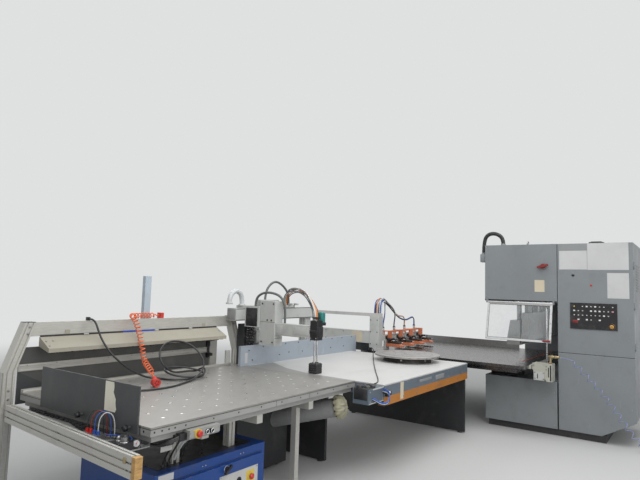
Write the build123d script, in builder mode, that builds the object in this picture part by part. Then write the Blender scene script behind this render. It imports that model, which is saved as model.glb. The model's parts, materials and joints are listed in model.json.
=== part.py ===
"""Paper cutting line: air table, transfer table with turntable, cutting table and cutter.

The line runs along X towards the cutter, its front is on the -Y side, and the origin lies
on the floor under the middle of the cutter. Lengths are millimetres.
"""
import os
from math import cos, radians, sin, tan

from build123d import *

os.makedirs("parts", exist_ok=True)

# Heights that the whole line shares
TABLE_HEIGHT = 800
SEAT_GAP = 0.3
RUNNING_GAP = 0.05
SLIDE_GAP = 2.0

# Cutter housing
CUTTER_DEPTH = 2200
CUTTER_HEIGHT = 2240
SHEAR_SIDE = 825
DIVIDER = -35
CONTROL_SIDE = -825
CONTROL_DEPTH = 1000
CONTROL_CHAMFER_IN = 340
CONTROL_CHAMFER_UP = 190
PLINTH_HEIGHT = 80
PLINTH_INSET = 40
HOOD_BOTTOM = 1540
HOOD_WALL = 5
CROWN_BOTTOM = 1700
CROWN_HEIGHT = 310
CROWN_SETBACK = 100
BED_WALL = 50
COLUMN_DEPTH = 345
THROAT_RADIUS = 90
FRAME_INSET = 10
GEAR_X = (-600, 330)
GEAR_Y = (50, 290)
GEAR_HEIGHT = 170
MOTOR_RADIUS = 95
MOTOR_LENGTH = 420
COVER_THICKNESS = 22
COVER_MARGIN = 6
COVER_ROUND = 5
FRONT_SPLIT = 962
FRONT_SEAM = 4
HINGE_Z = (1060, 1510, 1960)
HINGE_OUT = 9
HINGE_RADIUS = 7.5
HINGE_PIN = 4.5
HINGE_HEIGHT = 60
HINGE_LUG = 24
PLATE_STAND = 60
CONTROL_PLATE_Z = (420, 2080)
GEAR_ROW_Z = (560, 900, 1240, 1580, 1880)
GEAR_ROW_HEIGHT = 120

FRONT = -CUTTER_DEPTH / 2
BACK = CUTTER_DEPTH / 2
COLUMN_FRONT = BACK - FRAME_INSET - COLUMN_DEPTH
FRAME_RIGHT = DIVIDER + FRAME_INSET
FRAME_LEFT = SHEAR_SIDE - FRAME_INSET

# Cutting table and cutting unit
CUT_TABLE_FRONT = -1450
CUT_TABLE_RIGHT = 235
CUT_TABLE_LEFT = 2455
CUT_TABLE_THICKNESS = 34
CUT_TABLE_BACK = COLUMN_FRONT - 45
TABLE_SKIRT = 70
SKIRT_INSET = 140
PEDESTAL_HEIGHT = 81
THROAT_FLOOR = TABLE_HEIGHT - CUT_TABLE_THICKNESS - TABLE_SKIRT - PEDESTAL_HEIGHT
SIDE_LAY_HEIGHT = 95
SIDE_LAY_THICKNESS = 30
STICK_WIDTH = 20
STICK_DEPTH = 18
BLADE_PLANE = 402
BLADE_THICKNESS = 12
BLADE_HEIGHT = 130
KNIFE_BEAM_THICKNESS = 80
KNIFE_BEAM_HEIGHT = 340
KNIFE_LIFT = 210
CLAMP_THICKNESS = 160
CLAMP_HEIGHT = 300
CLAMP_LIFT = 200
BEAM_START = -1000
BEAM_END_GAP = 105
BEAM_LENGTH = COLUMN_FRONT - BEAM_END_GAP - BEAM_START
GUIDE_RADIUS = 30
GUIDE_PITCH = 1100

# Guard over the front of the throat
GUARD_TILT = 77
GUARD_LENGTH = 470
GUARD_WIDTH = 770
GUARD_FRAME = 26
GUARD_PANE = 6
GUARD_AXIS_OUT = 20
GUARD_AXIS_Z = HOOD_BOTTOM - 14
GUARD_PIN = 8
LUG_WIDTH = 16

# Controls on the cutter
PANEL_Y = (-662, -178)
PANEL_Z = (1250, 1548)
PANEL_THICKNESS = 8
KEY_SIZE = (16, 12, 2)
ESTOP_RADIUS = 21
ESTOP_TRAVEL = 6
PANEL_ESTOP = (-608, 1292)
DOOR_LOCK = (-212, 1881)
SWITCH_CENTRE = (118, 1972)
SWITCH_TILT = 15
SWITCH_LENGTH = 132

# Transfer table with the turntable
TRANSFER_X = (-3705, -1670)
TRANSFER_Y = (845, 2455)
TRANSFER_SHEET = 10
RIM_HEIGHT = 95
RIM_WALL = 45
BEAM_HEIGHT = 75
BEAM_FLANGE = 60
BEAM_WEB = 8
LEG_SLAB = 30
TURN_CENTRE = (-2020, 1455)
HUB_RADIUS = 285
HUB_HEIGHT = 58
DISC_RADIUS = 385
DISC_THICKNESS = 23
SPINDLE_RADIUS = 30
FENCE_X = (-3830, -1560)
FENCE_TOP = TABLE_HEIGHT + 205
FENCE_BOTTOM = TABLE_HEIGHT - 95
FENCE_THICKNESS = 8
FENCE_FLANGE = 30

# Air table with its portal
AIR_X = (-5925, -3708)
AIR_Y = (1145, 2655)
AIR_SHEET = 12
AIR_RIM_HEIGHT = 40
AIR_RIM_WALL = 18
CHANNEL_HEIGHT = 40
CHANNEL_INSET = 26
NOZZLE_RADIUS = 8
NOZZLE_DEPTH = 3
NOZZLE_PITCH = 150
NOZZLE_COUNT = (13, 9)
SIDE_PLATE_Y = (1255, 2355)
SIDE_PLATE_Z = (TABLE_HEIGHT - 55, TABLE_HEIGHT + 220)
SIDE_PLATE_THICKNESS = 8
SIDE_KNOB_Y = (1330, 1830)
RAIL_WIDTH = 50
RAIL_HEIGHT = 116
RAIL_TOP = TABLE_HEIGHT - 65
RAIL_LENGTH = 1640
RAIL_START = (-6150, 965)
RAIL_SKEW = 4.5
PLUG_LENGTH = 32
DECK_TOP = TABLE_HEIGHT - 110
DECK_THICKNESS = 6
DECK_Y = (1180, 2560)

PORTAL_Y = 2700
PORTAL_PROFILE = 80
PORTAL_LEFT = -6010
PORTAL_RIGHT = -3640
PORTAL_LEAN = 125
PORTAL_BEND = TABLE_HEIGHT + 150
PORTAL_TOP = TABLE_HEIGHT + 505
PORTAL_BEAM_HEIGHT = 105
PORTAL_BEAM_DEPTH = 60
CLIP_SIZE = 26
CLIP_AT = (-5400, 2704, PORTAL_TOP + 14)
LEAD_RADIUS = 27
LEAD_SOCKET_X = -4690
LEAD_SOCKET_LENGTH = 34
LEAD_Z = PORTAL_TOP + LEAD_RADIUS + SEAT_GAP
SLOT_WIDTH = 10
SLOT_DEPTH = 9
SLOT_PITCH = 40
COVER_LENGTH = 1830
COVER_TOP = PORTAL_TOP - PORTAL_BEAM_HEIGHT - 8
COVER_DROP = 88
COVER_RUN = 150
COVER_SHEET = 4
REAR_PANEL_X = (-5900, -3960)
REAR_PANEL_Z = (TABLE_HEIGHT - 110, TABLE_HEIGHT + 310)
REAR_PANEL_Y = 2775
REAR_PANEL_THICKNESS = 6
POST_X = -4805
POST_TOP = PORTAL_TOP + 385
POST_SIZE = 66
POST_DEPTH = 40

# Base, blower and controls under the air table
BASE_X = (-5724, -4700)
BASE_Y = (1335, 2150)
BASE_HEIGHT = 440
BASE_DOOR_THICKNESS = 18
BASE_DOOR_X = (-5680, -4745)
BASE_DOOR_Z = (50, 372)
LATCH_X = -5128
LATCH_TILT = 38
BASE_ESTOP = (-4880, 234)
BOX_X = (-5668, -5419)
BOX_Y = (1105, AIR_Y[0] + CHANNEL_INSET - SEAT_GAP)
BOX_Z = (TABLE_HEIGHT - 115, TABLE_HEIGHT - 58)
BOX_ESTOP_X = -5600
BLOWER_X = (-4580, -3900)
BLOWER_Y = (1750, 2350)
BLOWER_HEIGHT = 560
DUCT_RADIUS = 82
DUCT_END = (-3850, 1215, 585)

# Transfer unit behind the tables
SLIDE_BEAM_X = (-3850, -2420)
SLIDE_BEAM_Y = (2525, 2655)
SLIDE_BEAM_Z = (TABLE_HEIGHT + 462, TABLE_HEIGHT + 592)
TRANSFER_POST_X = (-3500, -2560)
CARRIAGE_X = -3620
CARRIAGE_SIZE = 190
CARRIER_END = -2860
MAST_WIDTH = 130
MAST_Y = (2135, 2335)
MAST_Z = (TABLE_HEIGHT + 224, TABLE_HEIGHT + 678)
ARM_Z = (TABLE_HEIGHT + 342, TABLE_HEIGHT + 455)
ARM_WIDTH = 110
PRESS_Y = 1655
PRESS_SIZE = 92
FOOT_HEIGHT = 100
ROD_RADIUS = 9
ROD_SPREAD = 22
HEAD_BOTTOM = TABLE_HEIGHT + 320
HEAD_TOP = TABLE_HEIGHT + 510

# Feed arm that pushes the pile into the cutter
FEED_X = -1450
FEED_POST = 130
FEED_POST_Y = (2135, 2275)
FEED_POST_Z = (TABLE_HEIGHT + 50, TABLE_HEIGHT + 468)
FEED_BAR_HEIGHT = 42
FEED_BEAM_Z = (TABLE_HEIGHT + 106, TABLE_HEIGHT + 263)
FEED_BEAM_WIDTH = 110
FEED_BEAM_END = 3960
JAW_COUNT = 4
JAW_PITCH = 330
JAW_LENGTH = 250
JAW_WIDTH = 105
JAW_THICKNESS = 42
JAW_OPEN = TABLE_HEIGHT + 100
TONGUE_THICKNESS = 8
FEED_RAIL_Y = (2290, 3150)
FEED_RAIL_WIDTH = 84
FEED_COLUMN_Y = (2620, 3060)
FEED_COLUMN_HALF = 60
FEED_FOOT = (300, 260, 20)
RUNNER_WIDTH = 28
RUNNER_DEPTH = 20


def block(x, y, z, mode=Mode.ADD):
    """Rectangular solid between two limits on each axis."""
    with Locations(((x[0] + x[1]) / 2, (y[0] + y[1]) / 2, (z[0] + z[1]) / 2)):
        Box(x[1] - x[0], y[1] - y[0], z[1] - z[0], mode=mode)


def rod(start, axis, radius, length, mode=Mode.ADD):
    """Round bar or bore from a start point along an axis."""
    with Locations(Plane(origin=start, z_dir=axis)):
        Cylinder(radius, length, align=(Align.CENTER, Align.CENTER, Align.MIN), mode=mode)


def slotted_section(width, height):
    """Section of an aluminium extrusion, with grooves along all four sides."""
    Rectangle(width, height)
    across = max(1, int(width / SLOT_PITCH))
    up = max(1, int(height / SLOT_PITCH))
    for side in (-1, 1):
        with Locations((0, side * (height - SLOT_DEPTH) / 2)):
            with GridLocations(SLOT_PITCH, SLOT_PITCH, across, 1):
                Rectangle(SLOT_WIDTH, SLOT_DEPTH, mode=Mode.SUBTRACT)
        with Locations((side * (width - SLOT_DEPTH) / 2, 0)):
            with GridLocations(SLOT_PITCH, SLOT_PITCH, 1, up):
                Rectangle(SLOT_DEPTH, SLOT_WIDTH, mode=Mode.SUBTRACT)


def corner_radii(name, points, share=0.45):
    """Radius at each inner point of a route, as large as its two runs allow."""
    radii = []
    for before, here, after in zip(points, points[1:], points[2:]):
        run_in = Vector(*here) - Vector(*before)
        run_out = Vector(*after) - Vector(*here)
        turn = radians(run_in.get_angle(run_out))
        radii.append(share * min(run_in.length, run_out.length) / tan(turn / 2))
    print(name, "radii", [round(radius) for radius in radii])
    return radii


def tube(name, points, radius, share=0.45):
    """Round tube along straight runs that tangent arcs join."""
    with BuildPart() as made:
        with BuildLine():
            FilletPolyline(*points, radius=corner_radii(name, points, share))
        start = Vector(*points[0])
        with BuildSketch(Plane(origin=start, z_dir=Vector(*points[1]) - start)):
            Circle(radius)
        sweep()
    return made.part


def gentle_bend(start, pull, end, runs):
    """Inner points of one long easy bend from start to end, drawn towards a third point."""
    points = []
    for index in range(1, runs):
        share = index / runs
        points.append(tuple(
            (1 - share) ** 2 * a + 2 * share * (1 - share) * b + share ** 2 * c
            for a, b, c in zip(start, pull, end)
        ))
    return points


# Cutter plinth, with the corner cut that the housing above it has
with BuildPart() as cutter_plinth:
    with BuildSketch(Plane.XY):
        with Locations((0, (SHEAR_SIDE + DIVIDER - PLINTH_INSET) / 2)):
            Rectangle(CUTTER_DEPTH - 2 * PLINTH_INSET, SHEAR_SIDE - DIVIDER - PLINTH_INSET)
        with Locations((FRONT + CONTROL_DEPTH / 2, (DIVIDER + CONTROL_SIDE + CONTROL_CHAMFER_IN) / 2)):
            Rectangle(CONTROL_DEPTH - 2 * PLINTH_INSET, DIVIDER - CONTROL_SIDE - CONTROL_CHAMFER_IN
                      + 2 * PLINTH_INSET)
    extrude(amount=PLINTH_HEIGHT)
cutter_plinth.part.label = "cutter_plinth"
export_step(cutter_plinth.part, "parts/cutter_plinth.step")

# Cutter frame, a C open to the front and to the left: hollow bed, column, and a crown with the
# guide bores and the knife's gear housing and motor
KNIFE_BEAM_Y = BLADE_PLANE - BLADE_THICKNESS / 2 - KNIFE_BEAM_THICKNESS / 2
CLAMP_Y = BLADE_PLANE + BLADE_THICKNESS / 2 + 12 + CLAMP_THICKNESS / 2
GUIDE_X = (BEAM_START + BEAM_LENGTH / 2 - GUIDE_PITCH / 2, BEAM_START + BEAM_LENGTH / 2 + GUIDE_PITCH / 2)
CROWN_TOP = CROWN_BOTTOM + CROWN_HEIGHT
FRAME_BACK = BACK - FRAME_INSET
with BuildPart() as cutter_frame:
    with BuildSketch(Plane.XZ.offset(-FRAME_LEFT)):
        with BuildLine():
            Polyline(
                (FRONT, PLINTH_HEIGHT),
                (FRAME_BACK, PLINTH_HEIGHT),
                (FRAME_BACK, CROWN_TOP),
                (FRONT + CROWN_SETBACK, CROWN_TOP),
                (FRONT + CROWN_SETBACK, CROWN_BOTTOM),
                (COLUMN_FRONT, CROWN_BOTTOM),
                (COLUMN_FRONT, THROAT_FLOOR),
                (FRONT, THROAT_FLOOR),
                close=True,
            )
        make_face()
    extrude(amount=FRAME_LEFT - FRAME_RIGHT)
    inner_corners = cutter_frame.edges().filter_by(Axis.Y).filter_by(
        lambda edge: abs(edge.center().X - COLUMN_FRONT) < 1)
    fillet(inner_corners, THROAT_RADIUS)
    for guide_x in GUIDE_X:
        for guide_y in (KNIFE_BEAM_Y, CLAMP_Y):
            rod((guide_x, guide_y, CROWN_BOTTOM), (0, 0, 1), GUIDE_RADIUS + RUNNING_GAP,
                CROWN_HEIGHT, Mode.SUBTRACT)
    block((FRONT + BED_WALL, FRAME_BACK - BED_WALL), (FRAME_RIGHT + BED_WALL, FRAME_LEFT - BED_WALL),
          (PLINTH_HEIGHT, THROAT_FLOOR - BED_WALL), Mode.SUBTRACT)
    block(GEAR_X, GEAR_Y, (CROWN_TOP, CROWN_TOP + GEAR_HEIGHT))
    rod((GEAR_X[1], (GEAR_Y[0] + GEAR_Y[1]) / 2, CROWN_TOP + MOTOR_RADIUS), (1, 0, 0), MOTOR_RADIUS,
        MOTOR_LENGTH)
cutter_frame.part.label = "cutter_frame"
export_step(cutter_frame.part, "parts/cutter_frame.step")

# Hood, a sheet shell open below, with the lugs of the guard and the boss of the main switch
GUARD_AXIS_X = FRONT - GUARD_AXIS_OUT
GUARD_MIDDLE = (SHEAR_SIDE + DIVIDER) / 2
LUG_Y = [GUARD_MIDDLE + side * (GUARD_WIDTH / 2 + LUG_WIDTH / 2 + SLIDE_GAP) for side in (-1, 1)]
with BuildPart() as hood_shell:
    block((FRONT, BACK), (DIVIDER + SEAT_GAP, SHEAR_SIDE), (HOOD_BOTTOM, CUTTER_HEIGHT))
    hood_mouth = hood_shell.faces().sort_by(Axis.Z)[0]
    offset(amount=-HOOD_WALL, openings=hood_mouth)
    for lug_y in LUG_Y:
        block((GUARD_AXIS_X - 14, FRONT + HOOD_WALL), (lug_y - LUG_WIDTH / 2, lug_y + LUG_WIDTH / 2),
              (GUARD_AXIS_Z - 14, HOOD_BOTTOM + 22))
        rod((GUARD_AXIS_X, lug_y - LUG_WIDTH, GUARD_AXIS_Z), (0, 1, 0), GUARD_PIN + RUNNING_GAP,
            2 * LUG_WIDTH, Mode.SUBTRACT)
    switch_origin = (FRONT, SWITCH_CENTRE[0], SWITCH_CENTRE[1])
    rod(switch_origin, (-1, 0, 0), 38, 10)
    rod((FRONT - 12, SWITCH_CENTRE[0], SWITCH_CENTRE[1]), (1, 0, 0), 8 + RUNNING_GAP, 40, Mode.SUBTRACT)
hood_shell.part.label = "hood_shell"
export_step(hood_shell.part, "parts/hood_shell.step")

# Rotary main switch, a bar handle on a collar with its spindle in the boss
with BuildPart() as main_switch:
    rod((FRONT - 10 - SEAT_GAP, SWITCH_CENTRE[0], SWITCH_CENTRE[1]), (-1, 0, 0), 30, 14)
    rod((FRONT - 10 - SEAT_GAP, SWITCH_CENTRE[0], SWITCH_CENTRE[1]), (1, 0, 0), 8, 28)
    handle_plane = Plane(origin=(FRONT - 24, SWITCH_CENTRE[0], SWITCH_CENTRE[1]),
                         x_dir=(0, cos(radians(SWITCH_TILT)), -sin(radians(SWITCH_TILT))),
                         z_dir=(-1, 0, 0))
    with BuildSketch(handle_plane):
        SlotOverall(SWITCH_LENGTH, 26)
    extrude(amount=26)
main_switch.part.label = "main_switch"
export_step(main_switch.part, "parts/main_switch.step")

# Control cabinet, closed below by its fixed front and open towards the door above it, with the
# hinge pins and the plate of the switchgear
CONTROL_BACK = FRONT + CONTROL_DEPTH
COVER_SEAT = FRONT + COVER_THICKNESS
HINGE_X = COVER_SEAT
HINGE_Y = CONTROL_SIDE - HINGE_OUT
with BuildPart() as control_cabinet:
    with BuildSketch(Plane.YZ.offset(COVER_SEAT + SEAT_GAP)):
        with BuildLine():
            Polyline(
                (DIVIDER, PLINTH_HEIGHT),
                (CONTROL_SIDE + CONTROL_CHAMFER_IN, PLINTH_HEIGHT),
                (CONTROL_SIDE, PLINTH_HEIGHT + CONTROL_CHAMFER_UP),
                (CONTROL_SIDE, CUTTER_HEIGHT),
                (DIVIDER, CUTTER_HEIGHT),
                close=True,
            )
        make_face()
    extrude(amount=CONTROL_BACK - COVER_SEAT - SEAT_GAP)
    cabinet_front = control_cabinet.faces().sort_by(Axis.X)[0]
    offset(amount=-HOOD_WALL, openings=cabinet_front)
    with BuildSketch(Plane.YZ.offset(FRONT)):
        with BuildLine():
            Polyline(
                (DIVIDER - COVER_MARGIN, PLINTH_HEIGHT),
                (CONTROL_SIDE + CONTROL_CHAMFER_IN, PLINTH_HEIGHT),
                (CONTROL_SIDE, PLINTH_HEIGHT + CONTROL_CHAMFER_UP),
                (CONTROL_SIDE, FRONT_SPLIT - FRONT_SEAM / 2),
                (DIVIDER - COVER_MARGIN, FRONT_SPLIT - FRONT_SEAM / 2),
                close=True,
            )
        make_face()
    extrude(amount=COVER_THICKNESS + SEAT_GAP + 1)
    fillet(control_cabinet.faces().sort_by(Axis.X)[0].edges(), COVER_ROUND)
    for hinge_z in HINGE_Z:
        rod((HINGE_X, HINGE_Y, hinge_z - HINGE_LUG), (0, 0, 1), HINGE_RADIUS, HINGE_LUG - SEAT_GAP)
        block((HINGE_X, HINGE_X + HINGE_LUG), (HINGE_Y - 3, CONTROL_SIDE + 1),
              (hinge_z - HINGE_LUG, hinge_z - SEAT_GAP))
        rod((HINGE_X, HINGE_Y, hinge_z - HINGE_LUG), (0, 0, 1), HINGE_PIN, HINGE_LUG + HINGE_HEIGHT)
    plate_x = CONTROL_BACK - HOOD_WALL - PLATE_STAND
    block((plate_x - 4, plate_x), (CONTROL_SIDE + 70, DIVIDER - 70), CONTROL_PLATE_Z)
    for row_z in GEAR_ROW_Z:
        block((plate_x - 74, plate_x - 4), (CONTROL_SIDE + 130, DIVIDER - 130),
              (row_z, row_z + GEAR_ROW_HEIGHT))
    for stud_y in (CONTROL_SIDE + 100, DIVIDER - 100):
        for stud_z in (CONTROL_PLATE_Z[0] + 40, CONTROL_PLATE_Z[1] - 40):
            rod((plate_x - 1, stud_y, stud_z), (1, 0, 0), 8, PLATE_STAND + 2)
control_cabinet.part.label = "control_cabinet"
export_step(control_cabinet.part, "parts/control_cabinet.step")

# Door of the control cabinet, with its hinge knuckles and its lock
with BuildPart() as control_door:
    block((FRONT, COVER_SEAT), (CONTROL_SIDE, DIVIDER - COVER_MARGIN),
          (FRONT_SPLIT + FRONT_SEAM / 2, CUTTER_HEIGHT))
    fillet(control_door.faces().sort_by(Axis.X)[0].edges(), COVER_ROUND)
    for hinge_z in HINGE_Z:
        rod((HINGE_X, HINGE_Y, hinge_z), (0, 0, 1), HINGE_RADIUS, HINGE_HEIGHT)
        block((HINGE_X - HINGE_RADIUS, HINGE_X - SEAT_GAP), (HINGE_Y, CONTROL_SIDE + 4),
              (hinge_z, hinge_z + HINGE_HEIGHT))
        rod((HINGE_X, HINGE_Y, hinge_z - 1), (0, 0, 1), HINGE_PIN + RUNNING_GAP, HINGE_HEIGHT + 2,
            Mode.SUBTRACT)
    rod((FRONT, *DOOR_LOCK), (-1, 0, 0), 15, 6)
control_door.part.label = "control_door"
export_step(control_door.part, "parts/control_door.step")

# Control panel with its rows of keys and the collar of the stop button
PANEL_FACE = FRONT - PANEL_THICKNESS
COLLAR_DEPTH = 6
with BuildPart() as control_panel:
    block((PANEL_FACE, FRONT), PANEL_Y, PANEL_Z)
    panel_middle = ((PANEL_Y[0] + PANEL_Y[1]) / 2, (PANEL_Z[0] + PANEL_Z[1]) / 2)
    with Locations(Plane(origin=(PANEL_FACE, panel_middle[0], panel_middle[1] + 34), x_dir=(0, -1, 0),
                         z_dir=(-1, 0, 0))):
        with GridLocations(44, 50, 10, 4):
            Box(KEY_SIZE[0], KEY_SIZE[1], KEY_SIZE[2], align=(Align.CENTER, Align.CENTER, Align.MIN))
    rod((PANEL_FACE, *PANEL_ESTOP), (-1, 0, 0), ESTOP_RADIUS + 11, COLLAR_DEPTH)
    rod((PANEL_FACE - COLLAR_DEPTH - 1, *PANEL_ESTOP), (1, 0, 0), 9 + RUNNING_GAP,
        PANEL_THICKNESS + COLLAR_DEPTH + 2, Mode.SUBTRACT)
control_panel.part.label = "control_panel"
export_step(control_panel.part, "parts/control_panel.step")


def mushroom(face, axis, stem_depth):
    """Mushroom head on a stem, lifted off its collar by the travel of the button."""
    back = tuple(-value for value in axis)
    seat = tuple(place + along * (ESTOP_TRAVEL + 1) for place, along in zip(face, axis))
    rod(seat, axis, ESTOP_RADIUS, 9)
    with Locations(Plane(origin=seat, z_dir=axis).offset(9)):
        Cone(ESTOP_RADIUS, ESTOP_RADIUS - 7, 6, align=(Align.CENTER, Align.CENTER, Align.MIN))
    rod(seat, back, 9, ESTOP_TRAVEL + 1 + stem_depth)


with BuildPart() as panel_estop:
    mushroom((PANEL_FACE - COLLAR_DEPTH, *PANEL_ESTOP), (-1, 0, 0), 6)
panel_estop.part.label = "panel_estop"
export_step(panel_estop.part, "parts/panel_estop.step")

# Cutting table, a dark slab on a skirt, with the groove of the cutting stick and the rear side lay
CUT_TABLE_BOTTOM = TABLE_HEIGHT - CUT_TABLE_THICKNESS
SKIRT_BOTTOM = CUT_TABLE_BOTTOM - TABLE_SKIRT
with BuildPart() as cutting_table:
    with BuildSketch(Plane.XY.offset(CUT_TABLE_BOTTOM)):
        with Locations(((CUT_TABLE_FRONT + CUT_TABLE_BACK) / 2, (CUT_TABLE_RIGHT + CUT_TABLE_LEFT) / 2)):
            RectangleRounded(CUT_TABLE_BACK - CUT_TABLE_FRONT, CUT_TABLE_LEFT - CUT_TABLE_RIGHT, 30)
    extrude(amount=CUT_TABLE_THICKNESS)
    with BuildSketch(Plane.XY.offset(SKIRT_BOTTOM)):
        with Locations(((CUT_TABLE_FRONT + CUT_TABLE_BACK) / 2, (CUT_TABLE_RIGHT + CUT_TABLE_LEFT) / 2)):
            Rectangle(CUT_TABLE_BACK - CUT_TABLE_FRONT - 2 * SKIRT_INSET,
                      CUT_TABLE_LEFT - CUT_TABLE_RIGHT - 2 * SKIRT_INSET)
    extrude(amount=TABLE_SKIRT)
    block((BEAM_START, BEAM_START + BEAM_LENGTH),
          (BLADE_PLANE - STICK_WIDTH / 2, BLADE_PLANE + STICK_WIDTH / 2),
          (TABLE_HEIGHT - STICK_DEPTH, TABLE_HEIGHT), Mode.SUBTRACT)
    block((CUT_TABLE_BACK - SIDE_LAY_THICKNESS, CUT_TABLE_BACK), (SHEAR_SIDE + 60, CUT_TABLE_LEFT - 30),
          (TABLE_HEIGHT, TABLE_HEIGHT + SIDE_LAY_HEIGHT))
cutting_table.part.label = "cutting_table"
export_step(cutting_table.part, "parts/cutting_table.step")

# Cutting stick, flush in its groove
with BuildPart() as cutting_stick:
    block((BEAM_START, BEAM_START + BEAM_LENGTH),
          (BLADE_PLANE - STICK_WIDTH / 2, BLADE_PLANE + STICK_WIDTH / 2),
          (TABLE_HEIGHT - STICK_DEPTH, TABLE_HEIGHT))
cutting_stick.part.label = "cutting_stick"
export_step(cutting_stick.part, "parts/cutting_stick.step")

# Stand of the cutting table: a pedestal on the cutter frame and two legs with a foot bar
STAND_LEG = 80
LEG_Y = CUT_TABLE_LEFT - SKIRT_INSET - STAND_LEG
LEG_X = (CUT_TABLE_FRONT + SKIRT_INSET, CUT_TABLE_BACK - SKIRT_INSET - STAND_LEG)
with BuildPart() as cutting_table_stand:
    with BuildSketch(Plane.XY.offset(THROAT_FLOOR)):
        with Locations(((BEAM_START + COLUMN_FRONT) / 2, (BLADE_PLANE + FRAME_LEFT) / 2)):
            RectangleRounded(COLUMN_FRONT - BEAM_START - 2 * THROAT_RADIUS,
                             FRAME_LEFT - BLADE_PLANE, 40)
    extrude(amount=SKIRT_BOTTOM - THROAT_FLOOR)
    for leg_x in LEG_X:
        block((leg_x, leg_x + STAND_LEG), (LEG_Y, LEG_Y + STAND_LEG), (0, SKIRT_BOTTOM))
    block((LEG_X[0] + STAND_LEG, LEG_X[1]), (LEG_Y + 10, LEG_Y + STAND_LEG - 10), (120, 180))
cutting_table_stand.part.label = "cutting_table_stand"
export_step(cutting_table_stand.part, "parts/cutting_table_stand.step")

# Clamp beam with its two guide rods
CLAMP_BOTTOM = TABLE_HEIGHT + CLAMP_LIFT
ROD_TOP = CROWN_TOP + 140
with BuildPart() as clamp_beam:
    with BuildSketch(Plane.YZ.offset(BEAM_START)):
        with BuildLine():
            Polyline(
                (CLAMP_Y - CLAMP_THICKNESS / 2, CLAMP_BOTTOM),
                (CLAMP_Y + CLAMP_THICKNESS / 2, CLAMP_BOTTOM),
                (CLAMP_Y + CLAMP_THICKNESS / 2, CLAMP_BOTTOM + 60),
                (CLAMP_Y + CLAMP_THICKNESS / 4, CLAMP_BOTTOM + CLAMP_HEIGHT),
                (CLAMP_Y - CLAMP_THICKNESS / 2, CLAMP_BOTTOM + CLAMP_HEIGHT),
                close=True,
            )
        make_face()
    extrude(amount=BEAM_LENGTH)
    for guide_x in GUIDE_X:
        rod((guide_x, CLAMP_Y, CLAMP_BOTTOM + CLAMP_HEIGHT - 1), (0, 0, 1), GUIDE_RADIUS,
            ROD_TOP - CLAMP_BOTTOM - CLAMP_HEIGHT)
clamp_beam.part.label = "clamp_beam"
export_step(clamp_beam.part, "parts/clamp_beam.step")

# Knife beam with its two guide rods, and the bevelled blade on its face
BLADE_EDGE = TABLE_HEIGHT + KNIFE_LIFT
KNIFE_BEAM_BOTTOM = BLADE_EDGE + 50
KNIFE_FACE = BLADE_PLANE - BLADE_THICKNESS / 2
with BuildPart() as knife_beam:
    block((BEAM_START, BEAM_START + BEAM_LENGTH), (KNIFE_FACE - KNIFE_BEAM_THICKNESS, KNIFE_FACE),
          (KNIFE_BEAM_BOTTOM, KNIFE_BEAM_BOTTOM + KNIFE_BEAM_HEIGHT))
    for guide_x in GUIDE_X:
        rod((guide_x, KNIFE_BEAM_Y, KNIFE_BEAM_BOTTOM + KNIFE_BEAM_HEIGHT - 1), (0, 0, 1), GUIDE_RADIUS,
            ROD_TOP - KNIFE_BEAM_BOTTOM - KNIFE_BEAM_HEIGHT)
knife_beam.part.label = "knife_beam"
export_step(knife_beam.part, "parts/knife_beam.step")

with BuildPart() as knife_blade:
    with BuildSketch(Plane.YZ.offset(BEAM_START + 10)):
        with BuildLine():
            Polyline(
                (KNIFE_FACE + BLADE_THICKNESS, BLADE_EDGE),
                (KNIFE_FACE + BLADE_THICKNESS, BLADE_EDGE + BLADE_HEIGHT),
                (KNIFE_FACE, BLADE_EDGE + BLADE_HEIGHT),
                (KNIFE_FACE, BLADE_EDGE + 28),
                close=True,
            )
        make_face()
    extrude(amount=BEAM_LENGTH - 20)
knife_blade.part.label = "knife_blade"
export_step(knife_blade.part, "parts/knife_blade.step")

# Guard: a light frame on a hinge rod, and the clear pane that fills it
guard_plane = Plane(origin=(GUARD_AXIS_X, GUARD_MIDDLE, GUARD_AXIS_Z), x_dir=(0, 1, 0),
                    z_dir=(-sin(radians(GUARD_TILT)), 0, cos(radians(GUARD_TILT))))
GUARD_START = 4
with BuildPart() as guard_frame:
    with BuildSketch(guard_plane.offset(-GUARD_FRAME / 4)):
        with Locations((0, GUARD_START + (GUARD_LENGTH - GUARD_START) / 2)):
            Rectangle(GUARD_WIDTH, GUARD_LENGTH - GUARD_START)
            Rectangle(GUARD_WIDTH - 2 * GUARD_FRAME, GUARD_LENGTH - GUARD_START - 2 * GUARD_FRAME,
                      mode=Mode.SUBTRACT)
    extrude(amount=GUARD_FRAME / 2)
    rod((GUARD_AXIS_X, LUG_Y[0] - LUG_WIDTH / 2, GUARD_AXIS_Z), (0, 1, 0), GUARD_PIN,
        LUG_Y[1] - LUG_Y[0] + LUG_WIDTH)
guard_frame.part.label = "guard_frame"
export_step(guard_frame.part, "parts/guard_frame.step")

with BuildPart() as guard_pane:
    with BuildSketch(guard_plane.offset(-GUARD_PANE / 2)):
        with Locations((0, GUARD_START + (GUARD_LENGTH - GUARD_START) / 2)):
            Rectangle(GUARD_WIDTH - 2 * GUARD_FRAME, GUARD_LENGTH - GUARD_START - 2 * GUARD_FRAME)
    extrude(amount=GUARD_PANE)
guard_pane.part.label = "guard_pane"
export_step(guard_pane.part, "parts/guard_pane.step")

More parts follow.
